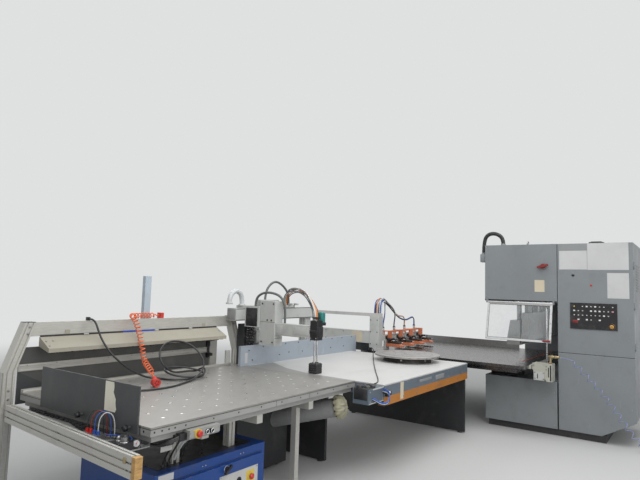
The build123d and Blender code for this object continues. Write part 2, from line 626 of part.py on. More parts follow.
# Cable conduit that arches from the hood roof into a box on the hood's left side
CONDUIT_X = FRONT + 60
CONDUIT_RADIUS = 26
CONDUIT_BOX_Z = (2027, 2130)
CONDUIT_BOX_OUT = 70
conduit_route = [
    (CONDUIT_X, 610, CUTTER_HEIGHT),
    (CONDUIT_X, 610, CUTTER_HEIGHT + 95),
    (CONDUIT_X, 705, CUTTER_HEIGHT + 160),
    (CONDUIT_X, 810, CUTTER_HEIGHT + 150),
    (CONDUIT_X, SHEAR_SIDE + CONDUIT_BOX_OUT / 2, CUTTER_HEIGHT + 60),
    (CONDUIT_X, SHEAR_SIDE + CONDUIT_BOX_OUT / 2, CONDUIT_BOX_Z[1] - 2),
]
conduit_tube = tube("hood conduit", conduit_route, CONDUIT_RADIUS)
with BuildPart() as hood_conduit:
    add(conduit_tube)
    block((CONDUIT_X - 40, CONDUIT_X + 60), (SHEAR_SIDE, SHEAR_SIDE + CONDUIT_BOX_OUT), CONDUIT_BOX_Z)
hood_conduit.part.label = "hood_conduit"
export_step(hood_conduit.part, "parts/hood_conduit.step")

# Bracket at the right end of the cutting table, with the air outlet on it
BRACKET_X = (-1330, -1180)
BRACKET_RIGHT = -20
BRACKET_TOP = TABLE_HEIGHT + 38
BRACKET_BOTTOM = TABLE_HEIGHT - 160
BRACKET_ARCH = BRACKET_BOTTOM + 50
OUTLET_AT = (BRACKET_X[0] + 60, -84, BRACKET_TOP + 82)
OUTLET_RADIUS = 15
OUTLET_LENGTH = 110
RISER_RADIUS = 13
with BuildPart() as end_bracket:
    with BuildSketch(Plane.YZ.offset(BRACKET_X[0])):
        with BuildLine():
            Polyline(
                (CUT_TABLE_RIGHT, CUT_TABLE_BOTTOM),
                (CUT_TABLE_RIGHT, TABLE_HEIGHT),
                (CUT_TABLE_RIGHT - 45, BRACKET_TOP),
                (BRACKET_RIGHT, BRACKET_TOP),
                (BRACKET_RIGHT, BRACKET_BOTTOM),
                (BRACKET_RIGHT + 60, BRACKET_BOTTOM),
                (BRACKET_RIGHT + 90, BRACKET_ARCH),
                (CUT_TABLE_RIGHT - 65, BRACKET_ARCH),
                (CUT_TABLE_RIGHT - 45, CUT_TABLE_BOTTOM),
                close=True,
            )
        make_face()
    extrude(amount=BRACKET_X[1] - BRACKET_X[0])
    block((BRACKET_X[0] - 20, BRACKET_X[0]), (BRACKET_RIGHT + 80, CUT_TABLE_RIGHT - 60),
          (BRACKET_BOTTOM + 10, BRACKET_TOP - 93))
    rod((OUTLET_AT[0], BRACKET_RIGHT + 28, BRACKET_TOP), (0, 0, 1), RISER_RADIUS, OUTLET_AT[2] - BRACKET_TOP)
    rod(OUTLET_AT, (0, 1, 0), OUTLET_RADIUS, OUTLET_LENGTH)
end_bracket.part.label = "end_bracket"
export_step(end_bracket.part, "parts/end_bracket.step")

# Air hose: thin and straight from the outlet, then one round envelope for its spiral down to the
# floor, where its plug lies
HOSE_RADIUS = 5
SPIRAL_RADIUS = 33
PLUG_RADIUS = 12
HOSE_PLUG_LENGTH = 60
PLUG_AXIS_Z = 15
SPIRAL_LOW = SPIRAL_RADIUS + SEAT_GAP
hose_lead_in = [
    OUTLET_AT,
    (OUTLET_AT[0], OUTLET_AT[1] - 76, OUTLET_AT[2]),
    (OUTLET_AT[0], OUTLET_AT[1] - 120, OUTLET_AT[2] - 12),
    (OUTLET_AT[0], OUTLET_AT[1] - 152, OUTLET_AT[2] - 44),
]
spiral_route = [
    hose_lead_in[-1],
    (OUTLET_AT[0] - 2, -345, 768),
    (OUTLET_AT[0] - 4, -480, 624),
    (OUTLET_AT[0] - 2, -610, 456),
    (OUTLET_AT[0] + 4, -720, 290),
    (OUTLET_AT[0] + 16, -806, 160),
    (OUTLET_AT[0] + 48, -872, 78),
    (OUTLET_AT[0] + 106, -922, 42),
    (OUTLET_AT[0] + 185, -950, SPIRAL_LOW),
    (OUTLET_AT[0] + 268, -956, SPIRAL_LOW),
]
with BuildPart() as air_hose:
    add(tube("air hose lead-in", hose_lead_in, HOSE_RADIUS))
    add(tube("air hose spiral", spiral_route, SPIRAL_RADIUS))
    rod((spiral_route[-1][0] - 1, spiral_route[-1][1], PLUG_AXIS_Z), (1, 0, 0), PLUG_RADIUS, HOSE_PLUG_LENGTH)
air_hose.part.label = "air_hose"
export_step(air_hose.part, "parts/air_hose.step")

# Transfer table top, a thin white sheet
RIM_TOP = TABLE_HEIGHT - TRANSFER_SHEET
RIM_BOTTOM = RIM_TOP - RIM_HEIGHT
BEAM_BOTTOM = RIM_BOTTOM - BEAM_HEIGHT
with BuildPart() as transfer_top:
    block(TRANSFER_X, TRANSFER_Y, (RIM_TOP, TABLE_HEIGHT))
transfer_top.part.label = "transfer_top"
export_step(transfer_top.part, "parts/transfer_top.step")

# Rim under the sheet, with two cross members
TRANSFER_MIDDLE = ((TRANSFER_X[0] + TRANSFER_X[1]) / 2, (TRANSFER_Y[0] + TRANSFER_Y[1]) / 2)
TRANSFER_SIZE = (TRANSFER_X[1] - TRANSFER_X[0], TRANSFER_Y[1] - TRANSFER_Y[0])
with BuildPart() as transfer_rim:
    with BuildSketch(Plane.XY.offset(RIM_BOTTOM)):
        with Locations(TRANSFER_MIDDLE):
            Rectangle(*TRANSFER_SIZE)
            Rectangle(TRANSFER_SIZE[0] - 2 * RIM_WALL, TRANSFER_SIZE[1] - 2 * RIM_WALL, mode=Mode.SUBTRACT)
            with GridLocations(TRANSFER_SIZE[0] / 3, 1, 2, 1):
                Rectangle(RIM_WALL, TRANSFER_SIZE[1] - RIM_WALL)
    extrude(amount=RIM_HEIGHT)
transfer_rim.part.label = "transfer_rim"
export_step(transfer_rim.part, "parts/transfer_rim.step")

# Orange channel beams along the front and the back of the transfer table
with BuildPart() as orange_beam:
    for face_y, inward in ((TRANSFER_Y[0], 1), (TRANSFER_Y[1], -1)):
        with BuildSketch(Plane.YZ.offset(TRANSFER_X[0])):
            with BuildLine():
                Polyline(
                    (face_y, BEAM_BOTTOM),
                    (face_y + inward * BEAM_FLANGE, BEAM_BOTTOM),
                    (face_y + inward * BEAM_FLANGE, BEAM_BOTTOM + BEAM_WEB),
                    (face_y + inward * BEAM_WEB, BEAM_BOTTOM + BEAM_WEB),
                    (face_y + inward * BEAM_WEB, RIM_BOTTOM - BEAM_WEB),
                    (face_y + inward * BEAM_FLANGE, RIM_BOTTOM - BEAM_WEB),
                    (face_y + inward * BEAM_FLANGE, RIM_BOTTOM),
                    (face_y, RIM_BOTTOM),
                    close=True,
                )
            make_face()
        extrude(amount=TRANSFER_SIZE[0])
orange_beam.part.label = "orange_beam"
export_step(orange_beam.part, "parts/orange_beam.step")

# Slab legs of the transfer table, with feet
with BuildPart() as transfer_legs:
    for slab_x, slab_y in ((TRANSFER_X[1] - 20 - LEG_SLAB, TRANSFER_Y[0] + 15), (TRANSFER_X[0] + 60, 1500)):
        block((slab_x, slab_x + LEG_SLAB), (slab_y, TRANSFER_Y[1] - 15), (12, BEAM_BOTTOM))
        for foot_y in (slab_y + 60, TRANSFER_Y[1] - 75):
            rod((slab_x + LEG_SLAB / 2, foot_y, 0), (0, 0, 1), 28, 13)
transfer_legs.part.label = "transfer_legs"
export_step(transfer_legs.part, "parts/transfer_legs.step")

# Turntable: a bored hub on the sheet and the disc with its spindle
HUB_BORE_BOTTOM = TABLE_HEIGHT + 8
with BuildPart() as turntable_hub:
    with BuildSketch(Plane.XZ.offset(-TURN_CENTRE[1])):
        with BuildLine():
            Polyline(
                (TURN_CENTRE[0], TABLE_HEIGHT),
                (TURN_CENTRE[0] + HUB_RADIUS, TABLE_HEIGHT),
                (TURN_CENTRE[0] + HUB_RADIUS - 14, TABLE_HEIGHT + HUB_HEIGHT),
                (TURN_CENTRE[0] + SPINDLE_RADIUS + RUNNING_GAP, TABLE_HEIGHT + HUB_HEIGHT),
                (TURN_CENTRE[0] + SPINDLE_RADIUS + RUNNING_GAP, HUB_BORE_BOTTOM),
                (TURN_CENTRE[0], HUB_BORE_BOTTOM),
                close=True,
            )
        make_face()
    revolve(axis=Axis((TURN_CENTRE[0], TURN_CENTRE[1], 0), (0, 0, 1)))
turntable_hub.part.label = "turntable_hub"
export_step(turntable_hub.part, "parts/turntable_hub.step")

DISC_BOTTOM = TABLE_HEIGHT + HUB_HEIGHT + SEAT_GAP
with BuildPart() as turntable_disc:
    rod((TURN_CENTRE[0], TURN_CENTRE[1], DISC_BOTTOM), (0, 0, 1), DISC_RADIUS, DISC_THICKNESS)
    chamfer(turntable_disc.edges().filter_by(GeomType.CIRCLE), 3)
    rod((TURN_CENTRE[0], TURN_CENTRE[1], DISC_BOTTOM), (0, 0, -1), SPINDLE_RADIUS,
        DISC_BOTTOM - HUB_BORE_BOTTOM - SEAT_GAP)
turntable_disc.part.label = "turntable_disc"
export_step(turntable_disc.part, "parts/turntable_disc.step")

# Fence plate along the back of the transfer table, flanged at its top and left end
FENCE_FACE = TRANSFER_Y[1]
with BuildPart() as fence_plate:
    block(FENCE_X, (FENCE_FACE, FENCE_FACE + FENCE_THICKNESS), (FENCE_BOTTOM, FENCE_TOP))
    block(FENCE_X, (FENCE_FACE, FENCE_FACE + FENCE_FLANGE), (FENCE_TOP - FENCE_THICKNESS, FENCE_TOP))
    block((FENCE_X[0], FENCE_X[0] + FENCE_THICKNESS), (FENCE_FACE, FENCE_FACE + FENCE_FLANGE),
          (FENCE_BOTTOM, FENCE_TOP))
    block((FENCE_X[0] - 1, TRANSFER_X[0]), (FENCE_FACE - 1, FENCE_FACE + FENCE_FLANGE + 1),
          (FENCE_BOTTOM - 1, TABLE_HEIGHT + SEAT_GAP), Mode.SUBTRACT)
fence_plate.part.label = "fence_plate"
export_step(fence_plate.part, "parts/fence_plate.step")

# Junction box at the left end of the transfer table
JUNCTION_X = (-3965, TRANSFER_X[0])
JUNCTION_GLAND = (-3800, 924)
with BuildPart() as junction_box:
    block(JUNCTION_X, (TRANSFER_Y[0] + 5, TRANSFER_Y[0] + 165), (RIM_BOTTOM - 30, RIM_TOP))
    fillet(junction_box.edges().filter_by(Axis.Z), 8)
    block((JUNCTION_GLAND[0] - 50, JUNCTION_GLAND[0]), (JUNCTION_GLAND[1] - 20, JUNCTION_GLAND[1] + 20),
          (RIM_TOP, RIM_TOP + 26))
junction_box.part.label = "junction_box"
export_step(junction_box.part, "parts/junction_box.step")

# Air table top, a sheet with rows of shallow nozzle pockets
AIR_MIDDLE = ((AIR_X[0] + AIR_X[1]) / 2, (AIR_Y[0] + AIR_Y[1]) / 2)
AIR_SIZE = (AIR_X[1] - AIR_X[0], AIR_Y[1] - AIR_Y[0])
AIR_BOTTOM = TABLE_HEIGHT - AIR_SHEET
with BuildPart() as air_table_top:
    block(AIR_X, AIR_Y, (AIR_BOTTOM, TABLE_HEIGHT))
    with BuildSketch(Plane.XY.offset(TABLE_HEIGHT)):
        with Locations(AIR_MIDDLE):
            with GridLocations(NOZZLE_PITCH, NOZZLE_PITCH, *NOZZLE_COUNT):
                Circle(NOZZLE_RADIUS)
    extrude(amount=-NOZZLE_DEPTH, mode=Mode.SUBTRACT)
air_table_top.part.label = "air_table_top"
export_step(air_table_top.part, "parts/air_table_top.step")

# Rim of the air table: the light edge strip with a channel set back below it
STRIP_BOTTOM = AIR_BOTTOM - AIR_RIM_HEIGHT
with BuildPart() as air_table_rim:
    for bottom, height, inset in ((STRIP_BOTTOM, AIR_RIM_HEIGHT, 0),
                                  (STRIP_BOTTOM - CHANNEL_HEIGHT, CHANNEL_HEIGHT, CHANNEL_INSET)):
        with BuildSketch(Plane.XY.offset(bottom)):
            with Locations(AIR_MIDDLE):
                Rectangle(AIR_SIZE[0] - 2 * inset, AIR_SIZE[1] - 2 * inset)
                Rectangle(AIR_SIZE[0] - 2 * (CHANNEL_INSET + AIR_RIM_WALL),
                          AIR_SIZE[1] - 2 * (CHANNEL_INSET + AIR_RIM_WALL), mode=Mode.SUBTRACT)
        extrude(amount=height)
air_table_rim.part.label = "air_table_rim"
export_step(air_table_rim.part, "parts/air_table_rim.step")

# Underframe of the air table: bearers, the two posts that stand on the base, legs and gussets
CHANNEL_BOTTOM = STRIP_BOTTOM - CHANNEL_HEIGHT
BEARER_HEIGHT = 60
BEARER_BOTTOM = CHANNEL_BOTTOM - BEARER_HEIGHT
BEARER_X = (-5480, -4960, -4340)
BEARER_HALF = 30
POST_ROW_Y = (1470, 2020)
LEG_ROW_Y = (1300, 2480)
TABLE_LEG = 50
GUSSET = (260, 120, 8)
GUSSET_IN = 10
with BuildPart() as table_underframe:
    for bearer_x in BEARER_X:
        block((bearer_x - BEARER_HALF, bearer_x + BEARER_HALF),
              (AIR_Y[0] + CHANNEL_INSET, AIR_Y[1] - CHANNEL_INSET), (BEARER_BOTTOM, CHANNEL_BOTTOM))
    for post_x in BEARER_X[:2]:
        for post_y in POST_ROW_Y:
            with BuildSketch(Plane.XY.offset(BASE_HEIGHT)):
                with Locations((post_x, post_y)):
                    slotted_section(2 * BEARER_HALF, 2 * BEARER_HALF)
            extrude(amount=BEARER_BOTTOM - BASE_HEIGHT)
    for leg_y in LEG_ROW_Y:
        block((BEARER_X[2] - TABLE_LEG / 2, BEARER_X[2] + TABLE_LEG / 2), (leg_y, leg_y + TABLE_LEG),
              (0, BEARER_BOTTOM))
    gusset_x = BEARER_X[0] + BEARER_HALF
    with BuildSketch(Plane.XZ.offset(GUSSET_IN - POST_ROW_Y[0])):
        with BuildLine():
            Polyline(
                (gusset_x, BEARER_BOTTOM),
                (gusset_x + GUSSET[0], BEARER_BOTTOM),
                (gusset_x, BEARER_BOTTOM - GUSSET[1]),
                close=True,
            )
        make_face()
    extrude(amount=GUSSET[2])
    block((gusset_x, BEARER_X[1] - BEARER_HALF), (POST_ROW_Y[0] - 16, POST_ROW_Y[0] + 16),
          (BEARER_BOTTOM, BEARER_BOTTOM + 20))
table_underframe.part.label = "table_underframe"
export_step(table_underframe.part, "parts/table_underframe.step")

# Side plate at the left end of the air table, with its clamp knobs
SIDE_PLATE_X = AIR_X[0] - SIDE_PLATE_THICKNESS
with BuildPart() as side_plate:
    block((SIDE_PLATE_X, AIR_X[0]), SIDE_PLATE_Y, SIDE_PLATE_Z)
    for knob_y in SIDE_KNOB_Y:
        rod((SIDE_PLATE_X, knob_y, TABLE_HEIGHT - 25), (-1, 0, 0), 9, 24)
        rod((SIDE_PLATE_X - 24, knob_y, TABLE_HEIGHT - 25), (-1, 0, 0), 17, 18)
side_plate.part.label = "side_plate"
export_step(side_plate.part, "parts/side_plate.step")

# Stop rail, a slotted extrusion that is swung out a little, and the wooden plug in its front end
rail_plane = Plane(origin=(RAIL_START[0], RAIL_START[1], RAIL_TOP - RAIL_HEIGHT / 2),
                   x_dir=(cos(radians(RAIL_SKEW)), -sin(radians(RAIL_SKEW)), 0),
                   z_dir=(sin(radians(RAIL_SKEW)), cos(radians(RAIL_SKEW)), 0))
with BuildPart() as stop_rail:
    with BuildSketch(rail_plane):
        slotted_section(RAIL_WIDTH, RAIL_HEIGHT)
    extrude(amount=RAIL_LENGTH)
stop_rail.part.label = "stop_rail"
export_step(stop_rail.part, "parts/stop_rail.step")

with BuildPart() as rail_plug:
    with BuildSketch(rail_plane):
        Rectangle(RAIL_WIDTH - 4, RAIL_HEIGHT - 6)
    extrude(amount=-PLUG_LENGTH)
    fillet(rail_plug.edges().filter_by(GeomType.LINE).group_by(Axis.Y)[0], 4)
rail_plug.part.label = "rail_plug"
export_step(rail_plug.part, "parts/rail_plug.step")

# Lower deck between the rail and the side plate, on a bracket under the channel
def rail_side(along):
    """Inner side of the skewed stop rail at a distance along the table."""
    reach = RAIL_START[0] + (along - RAIL_START[1]) * tan(radians(RAIL_SKEW))
    return reach + RAIL_WIDTH / 2 / cos(radians(RAIL_SKEW)) + SEAT_GAP


with BuildPart() as lower_deck:
    with BuildSketch(Plane.XY.offset(DECK_TOP - DECK_THICKNESS)):
        with BuildLine():
            Polyline(
                (rail_side(DECK_Y[0]), DECK_Y[0]),
                (AIR_X[0] + CHANNEL_INSET, DECK_Y[0]),
                (AIR_X[0] + CHANNEL_INSET, DECK_Y[1]),
                (rail_side(DECK_Y[1]), DECK_Y[1]),
                close=True,
            )
        make_face()
    extrude(amount=DECK_THICKNESS)
    for arm_y in (1280, 1900, 2480):
        with BuildSketch(Plane.XY.offset(DECK_TOP - DECK_THICKNESS - 40)):
            with BuildLine():
                Polyline(
                    (rail_side(arm_y), arm_y),
                    (BEARER_X[0] - BEARER_HALF, arm_y),
                    (BEARER_X[0] - BEARER_HALF, arm_y + 30),
                    (rail_side(arm_y + 30), arm_y + 30),
                    close=True,
                )
            make_face()
        extrude(amount=40)
lower_deck.part.label = "lower_deck"
export_step(lower_deck.part, "parts/lower_deck.step")

# Valve unit at the front end of the deck: regulator, bowl and fittings
with BuildPart() as valve_unit:
    block((-6090, -5990), (1190, 1300), (DECK_TOP, DECK_TOP + 42))
    rod((-6040, 1225, DECK_TOP + 42), (0, 0, 1), 20, 34)
    rod((-6040, 1275, DECK_TOP + 42), (0, 0, 1), 13, 18)
    block((-6060, -5990), (1480, 1640), (DECK_TOP, DECK_TOP + 30))
    with Locations((-6025, 1560, DECK_TOP + 30)):
        with GridLocations(1, 38, 1, 4):
            Cylinder(10, 22, align=(Align.CENTER, Align.CENTER, Align.MIN))
valve_unit.part.label = "valve_unit"
export_step(valve_unit.part, "parts/valve_unit.step")

# Portal: two bent legs of slotted extrusion and the beam across them
BEAM_SPAN = (PORTAL_LEFT + PORTAL_LEAN, PORTAL_RIGHT - PORTAL_LEAN)
BEAM_Z = (PORTAL_TOP - PORTAL_BEAM_HEIGHT, PORTAL_TOP)
LEG_HALF = PORTAL_PROFILE / 2
with BuildPart() as portal_frame:
    for foot_x, inward in ((PORTAL_LEFT, 1), (PORTAL_RIGHT, -1)):
        with BuildSketch(Plane.XY):
            with Locations((foot_x, PORTAL_Y)):
                slotted_section(PORTAL_PROFILE, PORTAL_PROFILE)
        extrude(amount=PORTAL_BEND)
        lean_rise = PORTAL_TOP - PORTAL_BEND
        with BuildSketch(Plane.XZ.offset(-PORTAL_Y - LEG_HALF)):
            with BuildLine():
                Polyline(
                    (foot_x - LEG_HALF, PORTAL_BEND),
                    (foot_x + LEG_HALF, PORTAL_BEND),
                    (foot_x + LEG_HALF + inward * PORTAL_LEAN, PORTAL_TOP),
                    (foot_x - LEG_HALF + inward * PORTAL_LEAN, PORTAL_TOP),
                    close=True,
                )
            make_face()
        extrude(amount=PORTAL_PROFILE)
        for groove_side in (-1, 1):
            groove_y = PORTAL_Y + groove_side * (LEG_HALF - SLOT_DEPTH / 2)
            with BuildSketch(Plane.XZ.offset(-groove_y - SLOT_DEPTH / 2)):
                for groove_x in (-SLOT_PITCH / 2, SLOT_PITCH / 2):
                    with BuildLine():
                        Polyline(
                            (foot_x + groove_x - SLOT_WIDTH / 2, PORTAL_BEND),
                            (foot_x + groove_x + SLOT_WIDTH / 2, PORTAL_BEND),
                            (foot_x + groove_x + SLOT_WIDTH / 2 + inward * PORTAL_LEAN, PORTAL_TOP),
                            (foot_x + groove_x - SLOT_WIDTH / 2 + inward * PORTAL_LEAN, PORTAL_TOP),
                            close=True,
                        )
                    make_face()
            extrude(amount=SLOT_DEPTH, mode=Mode.SUBTRACT)
    block((BEAM_SPAN[0] + LEG_HALF - 30, BEAM_SPAN[1] - LEG_HALF + 30),
          (PORTAL_Y - PORTAL_BEAM_DEPTH / 2, PORTAL_Y + PORTAL_BEAM_DEPTH / 2), BEAM_Z)
    block((CLIP_AT[0] - CLIP_SIZE / 2, CLIP_AT[0] + CLIP_SIZE / 2),
          (CLIP_AT[1] - CLIP_SIZE / 2, CLIP_AT[1] + CLIP_SIZE / 2), (PORTAL_TOP, CLIP_AT[2] + CLIP_SIZE / 2))
    block((LEAD_SOCKET_X, LEAD_SOCKET_X + LEAD_SOCKET_LENGTH),
          (PORTAL_Y - LEAD_RADIUS, PORTAL_Y + LEAD_RADIUS), (PORTAL_TOP, LEAD_Z + LEAD_RADIUS - 4))
portal_frame.part.label = "portal_frame"
export_step(portal_frame.part, "parts/portal_frame.step")

# Sloping cover under the beam: a folded sheet with a lip, on two end brackets
COVER_BACK = PORTAL_Y - 30
COVER_X = (BEAM_SPAN[0] + 75, BEAM_SPAN[0] + 75 + COVER_LENGTH)
with BuildPart() as portal_cover:
    with BuildSketch(Plane.YZ.offset(COVER_X[0])):
        with BuildLine():
            Polyline(
                (COVER_BACK, COVER_TOP + COVER_SHEET),
                (COVER_BACK - COVER_RUN, COVER_TOP - COVER_DROP + 14),
                (COVER_BACK - COVER_RUN, COVER_TOP - COVER_DROP - 16),
                (COVER_BACK - COVER_RUN + COVER_SHEET, COVER_TOP - COVER_DROP - 16),
                (COVER_BACK - COVER_RUN + COVER_SHEET, COVER_TOP - COVER_DROP + 12),
                (COVER_BACK, COVER_TOP),
                close=True,
            )
        make_face()
    extrude(amount=COVER_LENGTH)
    for end_x in (COVER_X[0], COVER_X[1] - 8):
        with BuildSketch(Plane.YZ.offset(end_x)):
            with BuildLine():
                Polyline(
                    (COVER_BACK, COVER_TOP),
                    (COVER_BACK - COVER_RUN + COVER_SHEET, COVER_TOP - COVER_DROP + 12),
                    (COVER_BACK - COVER_RUN + COVER_SHEET, COVER_TOP - COVER_DROP - 16),
                    (COVER_BACK, COVER_TOP - COVER_DROP + 20),
                    close=True,
                )
            make_face()
        extrude(amount=8)
    for hanger_x in (COVER_X[0] + 200, COVER_X[1] - 200):
        block((hanger_x, hanger_x + 40), (COVER_BACK - 4, COVER_BACK), (COVER_TOP - 30, BEAM_Z[0] + 40))
portal_cover.part.label = "portal_cover"
export_step(portal_cover.part, "parts/portal_cover.step")

# Rear panel behind the air table, with two strips and the angle at the table's back edge
with BuildPart() as rear_panel:
    block(REAR_PANEL_X, (REAR_PANEL_Y, REAR_PANEL_Y + REAR_PANEL_THICKNESS), REAR_PANEL_Z)
    block(REAR_PANEL_X, (REAR_PANEL_Y - 14, REAR_PANEL_Y), (TABLE_HEIGHT + 132, TABLE_HEIGHT + 186))
    for arm_x in (REAR_PANEL_X[0] + 300, REAR_PANEL_X[1] - 340):
        block((arm_x, arm_x + 40), (AIR_Y[1] + SEAT_GAP, REAR_PANEL_Y), (STRIP_BOTTOM, STRIP_BOTTOM + 30))
    block((REAR_PANEL_X[1] - 14, REAR_PANEL_X[1] + 81), (REAR_PANEL_Y - 20, REAR_PANEL_Y),
          (TABLE_HEIGHT - 60, TABLE_HEIGHT + 380))
    block((AIR_X[0], AIR_X[1] - 90), (AIR_Y[1] - 36, AIR_Y[1]), (TABLE_HEIGHT, TABLE_HEIGHT + 22))
    block((AIR_X[1] - 150, AIR_X[1] - 90), (AIR_Y[1] - 20, AIR_Y[1]), (TABLE_HEIGHT + 22, TABLE_HEIGHT + 150))
rear_panel.part.label = "rear_panel"
export_step(rear_panel.part, "parts/rear_panel.step")

# Hose post behind the beam
POST_FACE = PORTAL_Y + PORTAL_BEAM_DEPTH / 2
with BuildPart() as hose_post:
    block((POST_X - POST_SIZE / 2, POST_X + POST_SIZE / 2), (POST_FACE, POST_FACE + POST_DEPTH),
          (BEAM_Z[0], POST_TOP))
hose_post.part.label = "hose_post"
export_step(hose_post.part, "parts/hose_post.step")

# Spiral lead: one round envelope from its socket, along the beam and over the cover to its connector
CONNECTOR_RADIUS = 33.5
CONNECTOR_AT = (-5118, 2150, TABLE_HEIGHT + CONNECTOR_RADIUS + SEAT_GAP)
CONNECTOR_TAIL = Vector(0.28, 0.8, 0.53).normalized()
TAIL_LENGTH = 44
tail_start = Vector(*CONNECTOR_AT) + CONNECTOR_TAIL * 12
tail_end = tail_start + CONNECTOR_TAIL * TAIL_LENGTH
lead_route = [
    (LEAD_SOCKET_X, PORTAL_Y, LEAD_Z),
    (-4950, PORTAL_Y, LEAD_Z),
    (-4992, 2686, LEAD_Z + 1),
    (-5012, 2650, LEAD_Z + 3),
    (-5018, 2606, 1308),
    (-5016, 2576, 1268),
    (-5024, 2522, 1194),
    (-5034, 2474, 1114),
    (-5030, 2452, 1030),
    (-5038, 2408, 958),
    tuple(tail_end + CONNECTOR_TAIL * 78),
    tuple(tail_end),
]
with BuildPart() as orange_lead:
    add(tube("orange lead", lead_route, LEAD_RADIUS))
orange_lead.part.label = "orange_lead"
export_step(orange_lead.part, "parts/orange_lead.step")

# Round connector at the lead's end, lying on the air table
with BuildPart() as lead_connector:
    rod((CONNECTOR_AT[0] - 8, CONNECTOR_AT[1] - 26, CONNECTOR_AT[2]), (0.28, 0.96, 0), CONNECTOR_RADIUS, 52)
    rod(tuple(tail_start), tuple(CONNECTOR_TAIL), 18, TAIL_LENGTH)
lead_connector.part.label = "lead_connector"
export_step(lead_connector.part, "parts/lead_connector.step")

# Black cable: it leaves a clip on the beam, hangs to the air table and lies there in loose turns
CABLE_RADIUS = 8
CABLE_LOW = TABLE_HEIGHT + CABLE_RADIUS + SEAT_GAP
COIL_CENTRE = (-4690, 2312)
COIL_OUTER = (238, 182)
COIL_INNER = (165, 105)
COIL_FRONT_TOP = TABLE_HEIGHT + 46
COIL_BACK_TOP = TABLE_HEIGHT + 318
cable_route = [
    (CLIP_AT[0], CLIP_AT[1] - CLIP_SIZE / 2, CLIP_AT[2]),
    (CLIP_AT[0], CLIP_AT[1] - 68, CLIP_AT[2]),
    (CLIP_AT[0] + 4, CLIP_AT[1] - 114, CLIP_AT[2] - 32),
    (CLIP_AT[0] + 10, CLIP_AT[1] - 140, CLIP_AT[2] - 86),
    (-5380, 2532, 1172),
    (-5366, 2488, 1114),
    (-5336, 2450, 1052),
    (-5279, 2430, 992),
    (-5204, 2420, 932),
    (-5121, 2418, 883),
    (-5036, 2414, 843),
    (-4952, 2404, 818),
    (-4872, 2386, CABLE_LOW),
]
cable_tail_route = [
    (-4800, 2155, CABLE_LOW),
    (-4890, 2088, CABLE_LOW),
    (-5006, 2040, CABLE_LOW),
    (-5140, 2026, CABLE_LOW),
    (-5268, 2046, CABLE_LOW),
    (-5380, 2100, CABLE_LOW),
    (-5476, 2178, CABLE_LOW),
]
with BuildPart() as cable_coil:
    with BuildSketch(Plane.YZ.offset(COIL_CENTRE[0] - COIL_OUTER[0])):
        with BuildLine():
            Polyline(
                (COIL_CENTRE[1] - COIL_OUTER[1], TABLE_HEIGHT + SEAT_GAP),
                (COIL_CENTRE[1] + COIL_OUTER[1], TABLE_HEIGHT + SEAT_GAP),
                (COIL_CENTRE[1] + COIL_OUTER[1], COIL_BACK_TOP),
                (COIL_CENTRE[1] - COIL_OUTER[1], COIL_FRONT_TOP),
                close=True,
            )
        make_face()
    extrude(amount=2 * COIL_OUTER[0])
    with BuildSketch(Plane.XY.offset(TABLE_HEIGHT)):
        with Locations(COIL_CENTRE):
            Ellipse(*COIL_OUTER)
            Ellipse(*COIL_INNER, mode=Mode.SUBTRACT)
    extrude(amount=COIL_BACK_TOP - TABLE_HEIGHT + 1, mode=Mode.INTERSECT)
cable_coil.part.label = "cable_coil"
export_step(cable_coil.part, "parts/cable_coil.step")

with BuildPart() as cable_run:
    add(tube("cable run", cable_route, CABLE_RADIUS))
    add(tube("cable tail", cable_tail_route, CABLE_RADIUS))
    with BuildSketch(Plane.XY.offset(TABLE_HEIGHT)):
        with Locations(COIL_CENTRE):
            Ellipse(*COIL_OUTER)
    extrude(amount=COIL_BACK_TOP - TABLE_HEIGHT, mode=Mode.SUBTRACT)
cable_run.part.label = "cable_run"
export_step(cable_run.part, "parts/cable_run.step")

# Operator box under the front edge of the air table, with its push buttons
BOX_STOP_Z = (BOX_Z[0] + BOX_Z[1]) / 2
with BuildPart() as operator_box:
    with BuildSketch(Plane.YZ.offset(BOX_X[0])):
        with BuildLine():
            Polyline(
                (BOX_Y[0], BOX_Z[0] + 12),
                (BOX_Y[0] + 12, BOX_Z[0]),
                (BOX_Y[1], BOX_Z[0]),
                (BOX_Y[1], BOX_Z[1]),
                (BOX_Y[0], BOX_Z[1]),
                close=True,
            )
        make_face()
    extrude(amount=BOX_X[1] - BOX_X[0])
    rod((BOX_ESTOP_X, BOX_Y[0], BOX_STOP_Z), (0, -1, 0), ESTOP_RADIUS + 8, 4)
    for key_x in (BOX_ESTOP_X + 70, BOX_ESTOP_X + 112):
        rod((key_x, BOX_Y[0], BOX_STOP_Z), (0, -1, 0), 14, 9)
    rod((BOX_ESTOP_X, BOX_Y[0] - 6, BOX_STOP_Z), (0, 1, 0), 9 + RUNNING_GAP, 40, Mode.SUBTRACT)
operator_box.part.label = "operator_box"
export_step(operator_box.part, "parts/operator_box.step")

with BuildPart() as box_estop:
    mushroom((BOX_ESTOP_X, BOX_Y[0] - 4, BOX_STOP_Z), (0, -1, 0), 24)
box_estop.part.label = "box_estop"
export_step(box_estop.part, "parts/box_estop.step")

